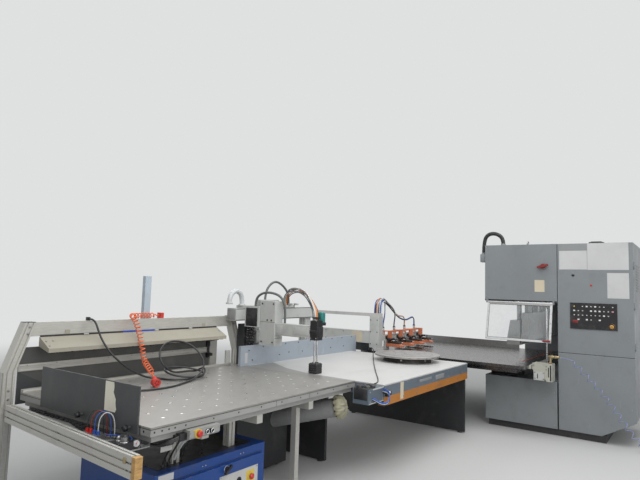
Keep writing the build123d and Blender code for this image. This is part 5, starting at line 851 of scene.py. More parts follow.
def dress_cutter_front():
    """Bare plates, screws and strips of the hood and the cabinet door, lifting eyes and the throat's rod."""
    papers("hood_plate", "paper_cream", [((CUTTER_FRONT, 219, 1663), (0, -114, 0), (0, 0, 142), 3)])
    papers("door_sheets", "paper_white", [((CUTTER_FRONT, -62, 1934), (0, -300, 0), (0, 0, 220), 5),
        ((-1100.6, -366, 1930), (0, -418, 0), (0, 0, 306), 8),
        ((CUTTER_FRONT, -567, 1610), (0, -216, 0), (0, 0, 285), 4)], "cabinet_door")
    papers("door_grey_plate", "label_grey", [((CUTTER_FRONT, -62, 2156), (0, -300, 0), (0, 0, 78), 0)],
        "cabinet_door")
    fitting("door_lamp", "stop_red", "cabinet_door",
        bars=[((CUTTER_FRONT, -401, 1751), (-1106, -401, 1751), 9, 7)],
        rings=[((-1101, -401, 1751), LEFT, 10, 2)])
    fitting("door_lock_barrel", "panel_black", "cabinet_door",
        bars=[((CUTTER_FRONT, -212, 1868), (-1106, -212, 1868), 11)],
        rings=[((-1102, -212, 1868), LEFT, 14, 2.5)])
    hood_screws = [(y, z) for y in (-14, 806) for z in (1600, 1858, 2216)]
    lower_screws = [(y, z) for y in (6, 804) for z in (120, 488, 600)]
    fitting("front_screws", "steel", screws=[((CUTTER_FRONT, y, z), LEFT, 6, 4)
        for y, z in hood_screws + lower_screws])
    fitting("door_screws", "steel", "cabinet_door", screws=[((CUTTER_FRONT, y, z), LEFT, 5, 3)
        for y, z in ((-767, 1151), (-62, 1151), (-767, 2216), (-62, 2216))])
    fitting("lower_front_screws", "steel", screws=[((CUTTER_FRONT, y, z), LEFT, 6, 4)
        for y, z in ((-787, 406), (-70, 406), (-70, 900))])
    fitting("hood_edge_strip", "panel_black", bevel=0.3,
        blocks=[((-1101.6, -33, 1540), (CUTTER_FRONT, 823, 1556)), ((-1103, -33, 1536), (-1096, 823, 1540))])
    fitting("hood_light_strip", "chrome", bevel=0.4, bars=[((-1103, 10, 1531), (-1103, 812, 1531), 5)],
        blocks=[((-1104, y, 1528), (-1096, y + 20, 1540)) for y in (20, 400, 780)])
    fitting("switch_plate", "panel_black", bars=[((CUTTER_FRONT, 118, 1972), (-1102.5, 118, 1972), 40, 39)],
        rings=[((-1102, 118, 1972), LEFT, 33, 1.6)])
    fitting("roof_pad", "conduit_black", bevel=2, blocks=[((-1080, -530, 2240), (-900, -380, 2254)),
        ((-1060, -510, 2254), (-960, -400, 2262))])
    fitting("lifting_eyes", "steel", bars=[((x, 395, 2240), (x, 395, 2262), 22, 16) for x in (-700, 560)],
        rings=heads((0, 1, 0), 26, 8, (-700, 560), 395, 2288))
    fitting("throat_rod", "chrome", bars=[((-985, 108, 614), (-985, 108, 1701), 11),
        ((-985, 108, 615), (-985, 108, 640), 24, 18), ((-985, 108, 1676), (-985, 108, 1700), 18, 24)])


# Keys of the control panel: rows from the top, one letter per column, from left to right
KEY_ROWS = (
    (1508, "y wWwWww w"),
    (1458, "Www WWWwwp"),
    (1408, "wwwwwwwWw "),
    (1358, " W Ww W   "),
)
KEY_FIRST, KEY_PITCH = -222, 44
KEY_FINISHES = {"W": "key_white", "w": "plate_light", "y": "key_yellow", "p": "key_pink"}


def dress_panel():
    """Caps over the keys, the frame of the panel, and rings round its stop button."""
    for letter, finish in KEY_FINISHES.items():
        wide, tall = (10, 8) if letter in "Wp" else (7, 5.5)
        caps = []
        for z, row in KEY_ROWS:
            for column, mark in enumerate(row):
                if mark == letter:
                    y = KEY_FIRST - KEY_PITCH * column
                    caps += [((-1115.5, y - wide, z - tall), (PANEL_FACE, y + wide, z + tall)),
                        ((-1116.5, y - wide + 3, z - tall + 3), (-1115, y + wide - 3, z + tall - 3))]
        fitting(f"panel_caps_{finish}", finish, "cabinet_door", blocks=caps, bevel=1.2)
    fitting("panel_dim_key", "handle_red", "cabinet_door", bevel=1.5,
        blocks=[((-1112, -262, 1316), (PANEL_FACE, -204, 1352)), ((-1113, -254, 1322), (-1111, -212, 1346))])
    fitting("panel_bezel", "panel_black", "cabinet_door", bevel=0.5,
        blocks=[((-1110, -662, 1250), (PANEL_FACE, -178, 1256)),
        ((-1110, -662, 1542), (PANEL_FACE, -178, 1548)), ((-1110, -662, 1250), (PANEL_FACE, -656, 1548)),
        ((-1110, -184, 1250), (PANEL_FACE, -178, 1548))],
        screws=heads(LEFT, 3.5, 2, -1110, (-655, -185), (1257, 1541)))
    fitting("stop_collar", "stop_gold", "cabinet_door", rings=[((PANEL_FACE, -608, 1292), LEFT, 31, 2.4)])
    fitting("stop_face", "panel_black", "panel_button", rings=[((-1135.5, -608, 1292), LEFT, 12, 1.5)],
        bars=[((-1135, -608, 1292), (-1136.5, -608, 1292), 6, 5)])


def dress_guard():
    """Grip at the guard's lower corner, strips along its frame and screws down its two sides."""
    def on_guard(down, y, proud):
        cos, sin = math.cos(GUARD_TILT), math.sin(GUARD_TILT)
        return -1120 - down * cos - proud * sin, y, 1526 - down * sin + proud * cos

    fitting("guard_grip", "handle_red", "guard", bevel=1.5,
        bars=[(on_guard(452, 26, 6), on_guard(452, 26, 30), 6),
        (on_guard(452, 86, 6), on_guard(452, 86, 30), 6), (on_guard(452, 14, 30), on_guard(452, 98, 30), 11)])
    fitting("guard_corners", "steel", "guard", screws=[(on_guard(down, y, 6.5), (-0.974, 0, 0.225), 5, 3)
        for down in (18, 128, 238, 348, 457) for y in (23, 767)])
    fitting("guard_seal", "panel_black", "guard", bevel=0,
        bars=[(on_guard(31, y, 4.2), on_guard(443, y, 4.2), 2.4) for y in (37.5, 752.5)]
        + [(on_guard(down, 37.5, 4.2), on_guard(down, 752.5, 4.2), 2.4) for down in (31.5, 442.5)], sides=8)


def dress_conduit():
    """Ribbed conduit over the hood, with its box and collars."""
    route = metres((-1040, 610, 2240), (-1040, 610, 2335), (-1040, 705, 2400), (-1040, 810, 2390),
        (-1040, 860, 2300), (-1040, 860, 2128))
    finish_piece(nurbs("conduit_core", route, 0.0215), "line", "conduit_black")
    stations = evenly(line_of(route), 0.0095)

    def ribs(bm):
        for place, along in stations[2:-2]:
            ring(bm, place, along, 0.0212, 0.0042, 18, 6)
    mesh_piece("conduit_ribs", ribs, "line", "conduit_black")
    made = fitting("conduit_box", "cabinet_grey", bevel=2.5, blocks=[((-1080, 825, 2027), (-980, 895, 2130)),
        ((-1083, 829, 2031), (-1079, 891, 2126))], bars=[((-1040, 860, 2128), (-1040, 860, 2150), 30, 27),
        ((-1040, 610, 2238), (-1040, 610, 2262), 32, 28)],
        screws=heads(LEFT, 4, 2, -1083, (837, 883), (2039, 2118)))
    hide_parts("hood_conduit")


def dress_bracket():
    """Fittings of the end bracket: valve, couplings, slots and bolts."""
    fitting("bracket_slots", "panel_black", bevel=0.5, blocks=[((-1352, 128, 672), (-1349.5, 136, 722)),
        ((-1331, 196, 752), (-1329.4, 204, 812)), ((-1331.5, -12, 650), (-1329.4, 2, 826)),
        ((-1331.5, 12, 690), (-1329.4, 22, 800))])
    fitting("bracket_bolts", "steel", bolts=[((-1330, y, z), LEFT, 7, 6)
        for y, z in ((40, 812), (180, 812), (40, 775))] + [((-1350, y, z), LEFT, 6, 5)
        for y, z in ((68, 668), (162, 668), (68, 736), (162, 736))])
    fitting("outlet_valve", "brass", sides=6, bars=[((-1270, -60, 920), (-1270, -34, 920), 20),
        ((-1270, -22, 920), (-1270, 22, 920), 21), ((-1270, 8, 842), (-1270, 8, 858), 20),
        ((-1270, -96, 920), (-1270, -80, 920), 11, 8)], rings=[((-1270, -47, 920), (0, 1, 0), 17, 3)])
    fitting("outlet_lever", "panel_black", bevel=1.5, bars=[((-1270, 8, 934), (-1270, 8, 952), 6)],
        blocks=[((-1276, 2, 950), (-1264, 74, 955))])
    fitting("bracket_hose_clip", "panel_black", blocks=[((-1345, 196, 838), (-1300, 222, 846))],
        rings=[((-1322, 209, 852), (1, 0, 0), 9, 3)])


def nozzle_rows(name, finish, left, front, across, along, pitch_x, pitch_y, ball, collar):
    """Rows of air nozzles: a flat collar and a ball that stands a little proud."""
    def build(bm):
        for column in range(across):
            for row in range(along):
                at = mm((left + column * pitch_x, front + row * pitch_y, 800))
                rod(bm, at, at + mm((0, 0, 0.7)), collar / 1000, 14, collar * 0.62 / 1000)
                bmesh.ops.create_uvsphere(bm, u_segments=8, v_segments=6, radius=ball / 1000,
                    matrix=Matrix.Translation(at + mm((0, 0, 2.4 - ball))))
    mesh_piece(name, build, "line", finish)


def dress_air_table():
    """Nozzles, gasket, holes, stop rail fittings, chrome bars that paint the highlights on the rail's top,
    knobs and the torn patch of the air table.
    """
    nozzle_rows("air_nozzles", "chrome", -5716.5, 1300, 13, 9, 150, 150, 5.5, 15)
    nozzle_rows("cutting_nozzles", "steel", -1390, 330, 4, 15, 90, 140, 4.5, 9)
    fitting("sheet_gasket", "panel_black", bevel=0, blocks=[((-5925.8, 1144.2, 786), (-3708, 1145, 789.2)),
        ((-5925.8, 1144.2, 786), (-5925, 2655, 789.2)), ((-5925, 2655, 786), (-3708, 2655.8, 789.2)),
        ((-5928, 1240, 747), (-5925, 1244, 800))])
    spots = [-5899, -5845, -5795, -5750, -5668] + [-5668 + 230 * step for step in range(1, 9)]
    fitting("strip_holes", "panel_black", bevel=0, bars=[((x, 1146, 770), (x, 1144.3, 770), 5, 6)
        for x in spots] + [((-5924, y, 770), (-5925.7, y, 770), 6, 7) for y in (1208, 1700, 2300)], sides=14)
    fitting("strip_joint", "side_dark", bevel=0, blocks=[((-4812, 1144.5, 748), (-4809, 1145.5, 788)),
        ((-4400, 1144.5, 748), (-4397, 1145.5, 788))])
    # The torn patch uses the lit copy of the cream paper: painted light on a side that lies in shade.
    papers("side_patch", "paper_cream_lit", [((-5933, 1596, 836), (0, -104, 0), (0, 0, 178), 3, 0.6, 15)])
    fitting("side_knob_grips", "panel_black", bevel=1.5, sides=8,
        bars=[((-5956, y, 775), (-5977, y, 775), 21, 19) for y in (1330, 1830)],
        rings=heads(LEFT, 14, 2.5, -5977, (1330, 1830), 775))
    outer = [(y, -6150 - 25.2 + (y - 965) * RAIL_LEAN) for y in (984, 1022, 1800, 2570)]
    fitting("rail_bolts", "steel", bolts=[((x + 5.5, y, z), LEFT, 7, 6) for y, x in outer
        for z in (657, 700)], bevel=0.5)
    fitting("rail_tag", "brass", blocks=[((-6174.5, 1016, 688), (-6168, 1040, 716))],
        screws=[((-6173.5, 1028, 702), LEFT, 5, 1)])
    # Chrome bars along the rail's top, added as painted highlights for its brightly lit upper edges.
    fitting("rail_top_highlights", "chrome", bevel=0.5,
        bars=[((-6150 - 14, 970, 733.5), (-6150 - 14 + 1630 * RAIL_LEAN, 2598, 733.5), 2.6),
        ((-6150 + 13, 970, 733.5), (-6150 + 13 + 1630 * RAIL_LEAN, 2598, 733.5), 2.6)], sides=10)


def dress_deck():
    """Kick plate, trays, gauge, regulator and short hoses on the lower deck."""
    fitting("deck_kick", "side_dark", bevel=1, blocks=[((-5904, 1182, 690), (-5896, 2556, 710)),
        ((-5960, 1180, 690), (-5904, 1190, 700))],
        screws=heads(LEFT, 5, 3, -5904, range(1240, 2540, 160), 700))
    fitting("deck_trays", "cable_black", bevel=2,
        blocks=[((-5990 + step // 4, 1700 + step, 690), (-5925, 1740 + step, 702 + step % 9))
        for step in range(0, 780, 62)])
    fitting("gauge_case", "panel_black", bars=[((-5990, 1212, 722), (-5972, 1200, 722), 7),
        ((-5975, 1203, 722), (-5990, 1183, 722), 23)], rings=[((-5990, 1183, 722), (-0.6, -0.8, 0), 22, 2.5)])
    fitting("gauge_dial", "paper_white", bars=[((-5989, 1184, 722), (-5991, 1181.5, 722), 19, 18.5)])
    fitting("gauge_needle", "stop_red", bevel=0, sides=6, bars=[((-5992, 1181, 722), (-5985, 1176, 734), 1.2),
        ((-5991, 1182, 722), (-5993, 1179.5, 722), 3)])
    fitting("regulator_knob", "panel_black", sides=10,
        bars=[((-6040, 1225, 764), (-6040, 1225, 776), 24, 20)], rings=[((-6040, 1225, 764), UP, 23, 2)])
    fitting("regulator_bowl", "chrome", bars=[((-6040, 1275, 748), (-6040, 1275, 758), 9, 6)],
        rings=[((-6040, 1225, 733), UP, 21, 2), ((-6040, 1275, 733), UP, 14, 2)])
    for number, finish in enumerate(("hose_white", "hose_deep_blue", "handle_red", "cable_black")):
        y = 1503 + 38 * number
        cord_piece(f"deck_hose_{number + 1}", metres((-6025, y, 738), (-6025, y, 776), (-6020, y - 4, 814),
            (-6004, y - 14, 842), (-5984, y - 26, 848), (-5963, y - 38, 834), (-5950, y - 46, 798),
            (-5947, y - 50, 745), (-5947, y - 50, 692)), 0.0032, finish, fineness=6)
    for number, finish in enumerate(("cable_black", "hose_deep_blue")):
        z = 700 + 16 * number
        cord_piece(f"rail_hose_{number + 1}", metres((-5990, 1240 + 20 * number, z),
            (-5955, 1244 + 20 * number, z + 2), (-5925, 1300 + 24 * number, z + 6),
            (-5930, 1380 + 20 * number, z - 2), (-5960, 1440 + 8 * number, z),
            (-5992, 1486 + 24 * number, z)), 0.0036, finish, fineness=6)


def dress_portal():
    """Bolts, clips, tape, a black strip of painted shade under the beam, dark teeth under the cover that also
    paint the shade under its lip, and the strips behind the table.
    """
    fitting("beam_bolts", "steel", bevel=0.5, bolts=[((x, BEAM_FRONT, z), FRONTWARD, 8, 7)
        for x, z in ((-5892, 1272), (-5902, 1222), (-3757, 1272), (-3748, 1222))] + heads(FRONTWARD, 7, 6,
        (-6010, -3640), BEAM_FRONT, (760, 820)))
    # Black strip along the beam's lower front edge: painted shade for the dark gap between the beam and the
    # cover.
    fitting("beam_gap_shade", "cable_black", bevel=1, blocks=[((-5806, 2664, 1190), (-3984, 2669.8, 1207))])
    fitting("beam_clips", "machine_light", bevel=1.5, blocks=[((x - 20, 2656, 1194), (x + 20, 2664, 1206))
        for x in (-5433, -4737, -4336)], screws=[((x + side, 2656, 1200), FRONTWARD, 4, 2)
        for x in (-5433, -4737, -4336) for side in (-12, 12)])
    fitting("beam_caps", "panel_black", bevel=1, blocks=[((-5924, 2662, 1305), (-5846, 2738, 1309)),
        ((-3804, 2662, 1305), (-3726, 2738, 1309))])
    papers("beam_tape", "tape_blue", [((-5091, 2663.6, 1194), (354, 0, 0), (0, 0, 14), 0, 0.4)])
    fitting("cover_bolts", "steel", bevel=0.5,
        bolts=[((x, y, 1196 - (2670 - y) * COVER_FALL), (0, -COVER_FALL, 1), 6, 5)
        for x, y in ((-5790, 2606), (-5735, 2606), (-5790, 2550), (-4005, 2606), (-4900, 2640))])
    # Dark blocks under the cover's lip: rubber teeth, and also painted shade for the dark scallops under the
    # lip.
    fitting("cover_teeth_and_shade", "cable_black", bevel=2,
        blocks=[((-5798 + 60 * step, 2521, 1078 + 3 * (step % 3)), (-5798 + 60 * step + 38, 2552, 1090))
        for step in range(30)])
    fitting("panel_rails", "aluminium", bevel=0.6, blocks=[((-5896, 2757.5, 934), (-3964, 2761, 948)),
        ((-5896, 2757.5, 970), (-3964, 2761, 984)), ((-5920, 2616.5, 806), (-3800, 2619, 812))])
    fitting("panel_arms", "panel_black", bevel=2, blocks=[((-4016, 2700, 900), (-3988, 2781, 930)),
        ((-4016, 2750, 880), (-3988, 2781, 1170)), ((-4100, 2765, 1150), (-3988, 2779, 1176))])
    fitting("panel_rivets", "steel", bevel=0, screws=heads(FRONTWARD, 5, 2.5, range(-5840, -3990, 230),
        2757.5, 977))
    fitting("post_collar", "aluminium", bevel=1.5, blocks=[((-4842, 2727, 1230), (-4768, 2774, 1246)),
        ((-4842, 2727, 1284), (-4768, 2774, 1300))], bolts=heads(LEFT, 6, 5, -4842, 2750, (1238, 1292)))


def dress_base():
    """Controls, screws, labels, a latch ring, seams and floor bolts of the blue base."""
    fitting("plate_screws", "steel", "door", bevel=0, screws=heads(FRONTWARD, 5, 3, (-5180, -4810),
        PLATE_FACE, (120, 290)))
    fitting("base_selector", "panel_black", "door", bevel=1,
        bars=[((-5000, PLATE_FACE, 234), (-5000, PLATE_FACE - 8, 234), 20),
        ((-5110, PLATE_FACE, 234), (-5110, PLATE_FACE - 6, 234), 13)],
        blocks=[((-5003, PLATE_FACE - 22, 218), (-4997, PLATE_FACE - 6, 250))],
        rings=[((-5000, PLATE_FACE - 2, 234), FRONTWARD, 22, 2.5)])
    fitting("base_lamps", "key_white", "door",
        bars=[((-5056, PLATE_FACE, 234), (-5056, PLATE_FACE - 9, 234), 12, 9)],
        rings=[((-5056, PLATE_FACE - 1, 234), FRONTWARD, 14, 2.5),
        ((-5110, PLATE_FACE - 6, 234), FRONTWARD, 8, 2)])
    papers("base_stop_square", "key_yellow", [((-4925, PLATE_FACE, 190), (86, 0, 0), (0, 0, 88), 0, 0.8)],
        "door")
    papers("base_side_sheet", "paper_white", [((-5700, 1335, 388), (120, 0, 0), (0, 0, 44), 2)])
    fitting("base_screws", "steel", bevel=0, screws=heads(FRONTWARD, 5, 3, (-5339, -5309, -4971, -4941), 1335,
        408))
    fitting("latch_ring", "chrome", "door", rings=[((-5128, 1312.5, 342), FRONTWARD, 23, 2.5)],
        screws=[((-5128, 1290.5, 342), FRONTWARD, 7, 2)], bevel=0)
    fitting("base_seams", "panel_black", bevel=0, blocks=[((-5690, 1334.4, 380), (-4735, 1335.2, 384)),
        ((-5650, 1400, 440), (-4780, 2090, 441.5))])
    fitting("floor_bolts", "steel", bolts=heads(UP, 7, 8, (-1550, -1350), (2530, 2710, 2970, 3150), 18),
        bevel=0)


def dress_under_table():
    """Fittings of the operator box, the hoses beside it and below the table, gussets and leg pads."""
    papers("operator_label", "key_yellow", [((-5640, 1104.9, 733), (48, 0, 0), (0, 0, 8), 0, 0.4)])
    fitting("operator_box_screws", "steel", bevel=0, screws=heads(FRONTWARD, 4, 2, (-5660, -5430), 1105, 724)
        + heads(LEFT, 4, 2, -5668, (1120, 1160), 714))
    fitting("button_rims", "chrome", rings=heads(FRONTWARD, 12.5, 2, (-5530, -5488), 1096, 713.5))
    fitting("cable_clamps", "panel_black", bevel=2, blocks=[((-5742, 1150, 690), (-5690, 1171, 722)),
        ((-5722, 1128, 684), (-5668, 1168, 728)), ((-5770, 1182, 660), (-5730, 1210, 684))])
    for number, (lift, finish) in enumerate(((0, "cable_black"), (14, "cable_black"), (7, "conduit_black"))):
        route = metres((-5700, 1146, 700 + lift), (-5735, 1132, 700 + lift), (-5782, 1136, 690 + lift),
            (-5806, 1168, 672 + lift), (-5812, 1216, 660 + lift / 2), (-5812, 1282, 662))
        cord_piece(f"box_hose_{number + 1}", route, 0.0055, finish, fineness=6)
    for number, finish in enumerate(("cable_black", "conduit_black", "hose_white", "cable_black")):
        x = -5640 + 56 * number
        route = metres((x, 1173, 712), (x, 1212, 710), (x + 6, 1256, 690), (x + 14, 1296, 644),
            (x + 24, 1340 + 8 * number, 584), (x + 36, 1392 + 10 * number, 524),
            (x + 40, 1420 + 10 * number, 478), (x + 40, 1424 + 10 * number, 452))
        cord_piece(f"under_hose_{number + 1}", route, 0.0065, finish, fineness=6)
    spots = [(-5600 + 56 * number, 1424 + 10 * number) for number in range(4)]
    fitting("under_hose_glands", "panel_black", sides=10,
        bars=[((x, y, 439), (x, y, 464), 13) for x, y in spots])
    fitting("deck_gussets", "plate_light", bevel=0.6, blocks=[((-5760, 1252, 606), (-5672, 1256, 646)),
        ((-5760, 1252, 640), (-5672, 1284, 646))])
    fitting("leg_pads", "panel_black", bevel=1, bars=[((-4340, y + 25, 0), (-4340, y + 25, 8), 44, 40)
        for y in (1300, 2480)])


def dress_lead_connector():
    """Rim and sockets on the face of the round connector."""
    face = (-0.28, -0.96, 0)
    middle = Vector((-5126, 2124, 833.8))
    spots = [middle + Vector((0.96, -0.28, 0)) * 15 * math.cos(turn) + Vector((0, 0, 15)) * math.sin(turn)
        for turn in (0.6, 1.86, 3.1, 4.4, 5.4)]
    fitting("connector_holes", "cable_black", bevel=0, sides=14,
        bars=[(spot - Vector(face), spot + Vector(face) * 0.8, 5.5) for spot in spots])
    fitting("connector_rim", "connector_red", bevel=0, rings=[(middle + Vector(face) * 0.5, face, 29, 3.2),
        (middle, face, 8, 1.6)])


def dress_blower():
    """Crumpled cap tied over the duct's end, its string, and the blower's ribs."""
    start, end = Vector((-4.09, 1.81, 0.43)), Vector((-3.85, 1.215, 0.585))
    along = (end - start).normalized()
    turn = along.to_track_quat("Z", "Y").to_matrix().to_4x4()

    def cap(bm):
        made = bmesh.ops.create_uvsphere(bm, u_segments=72, v_segments=36, radius=1)
        low = [vert for vert in made["verts"] if vert.co.z < -0.42]
        bmesh.ops.delete(bm, geom=low, context="VERTS")
        for vert in bm.verts:
            x, y, z = vert.co
            angle = math.atan2(y, x)
            reach = math.hypot(x, y)
            pleat = math.sin(11 * angle + 2.4 * z) * 0.5 + math.sin(23 * angle - 5 * z + 1.3) * 0.32
            crease = math.sin(9 * x + 4 * y + 2) * math.sin(7 * y - 5 * z) * 0.5
            swell = 1 + 0.1 * pleat * min(1, 1.4 * reach) + 0.075 * crease
            radius = 0.1 * swell if z < 0.25 else 0.1 * swell * (1 - 0.1 * (z - 0.25))
            vert.co = (x * radius, y * radius, z * 0.074 * (swell + 0.06 * pleat * reach) - 0.004)
        bmesh.ops.transform(bm, matrix=Matrix.Translation(end) @ turn, verts=bm.verts)
        bm.normal_update()
        bmesh.ops.solidify(bm, geom=list(bm.faces), thickness=-0.0012)
    cloth = mesh_piece("duct_cap", cap, "line", "cloth_pale")
    tie = mesh_piece("duct_cap_tie", lambda bm: [ring(bm, end - along * 0.03, along, 0.0935, 0.0022, 40, 8),
        ring(bm, end - along * 0.024, along, 0.0942, 0.0022, 40, 8)], "line", "cable_black")
    mesh_piece("duct_seams", lambda bm: [ring(bm, start + along * step, along, 0.0822, 0.0022, 40, 6)
        for step in (0.2, 0.36, 0.52)], "line", "duct_grey")
    fitting("blower_grille", "side_dark", bevel=1,
        blocks=[((-4581.5, 1830, 120 + 34 * step), (-4578, 2270, 140 + 34 * step)) for step in range(11)])
    fitting("blower_nameplate", "plate_light", blocks=[((-4581.5, 1990, 510), (-4579, 2110, 545))],
        screws=heads(LEFT, 3, 1.5, -4581.5, (1996, 2104), 527), bevel=0.3)


def dress_transfer_table():
    """Seam plate, rim plates, junction box fittings and the fence's bolts."""
    def wedge(bm):
        outline = ((-3752, 1150), (-3694, 1150), (-3668, 1700), (-3560, 2060), (-3330, 2440), (-3752, 2440))
        face = bm.faces.new([bm.verts.new(mm((x, y, 800.1))) for x, y in outline])
        made = bmesh.ops.extrude_face_region(bm, geom=[face])
        verts = [part for part in made["geom"] if isinstance(part, bmesh.types.BMVert)]
        bmesh.ops.translate(bm, vec=(0, 0, 0.0006), verts=verts)
    mesh_piece("seam_plate", wedge, "line", "seam_grey", smooth=False)
    papers("rim_label", "paper_cream", [((-3398, RIM_FACE, 634), (64, 0, 0), (0, 0, 152), 3)])
    fitting("rim_plates", "label_grey", bevel=0.6, blocks=[((-2600, 843, 715), (-2370, 845, 762)),
        ((-2985, 844, 735), (-2700, 845, 762))], screws=heads(FRONTWARD, 5, 3, (-3250, -2650, -2250, -1850),
        RIM_FACE, (712, 775)))
    fitting("rim_screws", "steel", bevel=0, screws=heads(FRONTWARD, 7, 4, range(-3600, -1690, 270), RIM_FACE,
        657))
    fitting("rim_valve", "panel_black", bevel=1.5, blocks=[((-3690, 822, 700), (-3640, 845, 745)),
        ((-3640, 828, 705), (-3600, 845, 738))], bars=[((-3665, 822, 738), (-3665, 812, 738), 9)])
    fitting("rim_valve_cap", "key_white", bars=[((-3668, 812, 738), (-3668, 805, 738), 9, 7)],
        rings=[((-3668, 812, 738), FRONTWARD, 9, 2)])
    fitting("junction_boots", "cable_black", bevel=3, sides=16,
        bars=[((-3900, 905, 789), (-3905, 895, 812), 34, 22), ((-3840, 890, 789), (-3842, 878, 815), 30, 20),
        ((-3935, 960, 789), (-3942, 955, 820), 36, 22), ((-3880, 965, 789), (-3880, 968, 808), 30, 24)],
        blocks=[((-3962, 858, 788), (-3860, 1000, 796)), ((-3968, 866, 700), (-3958, 996, 792))])
    fitting("junction_lid", "machine_light", bevel=1.5, blocks=[((-3900, 848, 778), (-3709, 852, 790)),
        ((-3960, 846.5, 668), (-3709, 850, 676))],
        screws=heads(FRONTWARD, 5, 3, (-3945, -3722), 850, (690, 768)))
    loops = (("hose_deep_blue", 0, 0.0045), ("hose_white", 10, 0.004), ("hose_deep_blue", -12, 0.0045),
        ("cable_black", 22, 0.005))
    for number, (finish, shift, radius) in enumerate(loops):
        low = 668 - shift / 2
        route = metres((-3722, 851, 758 - shift), (-3722, 812, 757 - shift), (-3728, 782, 738 - shift),
            (-3750, 768, low + 36), (-3790, 764, low + 4), (-3838, 774, low), (-3874, 796, low + 12),
            (-3894, 824, low + 34), (-3900, 851, low + 42))
        cord_piece(f"junction_hose_{number + 1}", route, radius, finish, fineness=6)
    dots = [(-3706, 955), (-3481, 981), (-3253, 988), (-3097, 988), (-3651, 851), (-3204, 873), (-3033, 887)]
    dots += [(x, 988) for x in range(-2860, -1580, 235)] + [(x, 880) for x in range(-2780, -1580, 300)]
    fitting("fence_bolts", "side_dark", bevel=0, screws=[((x, FENCE_FACE, z), FRONTWARD, 7, 5)
        for x, z in dots])
    papers("fence_label", "paper_white", [((-3765, FENCE_FACE, 826), (42, 0, 0), (0, 0, 106), 2)])
    fitting("fence_brace", "fence_blue_grey", bevel=1, blocks=[((x, 2485, 720), (x + 6, 2530, 1000))
        for x in (-3300, -2900, -2200, -1800)])


def dress_turntable():
    """Centre cap, screws and grooves of the turntable's disc, and the bolts of its hub."""
    x, y = DISC_MIDDLE
    turns = [math.radians(60 * step + 12) for step in range(6)]
    spokes = [(math.cos(turn), math.sin(turn)) for turn in turns]
    fitting("disc_screws", "steel", "turntable", bevel=0,
        screws=[((x + 220 * cos, y + 220 * sin, 881), UP, 9, 2.5) for cos, sin in spokes],
        bars=[((x, y, 880.5), (x, y, 883), 42, 39)])
    fitting("disc_groove", "hub_brown", "turntable", bevel=0, rings=[((x, y, 881), UP, 300, 1.2),
        ((x, y, 881), UP, 150, 1.0), ((x, y, 869), UP, 385, 2.2)])
    fitting("hub_bolts", "steel", bevel=0, bolts=[((x + 277 * cos, y + 277 * sin, 829), (cos, sin, 0), 9, 9)
        for cos, sin in spokes])


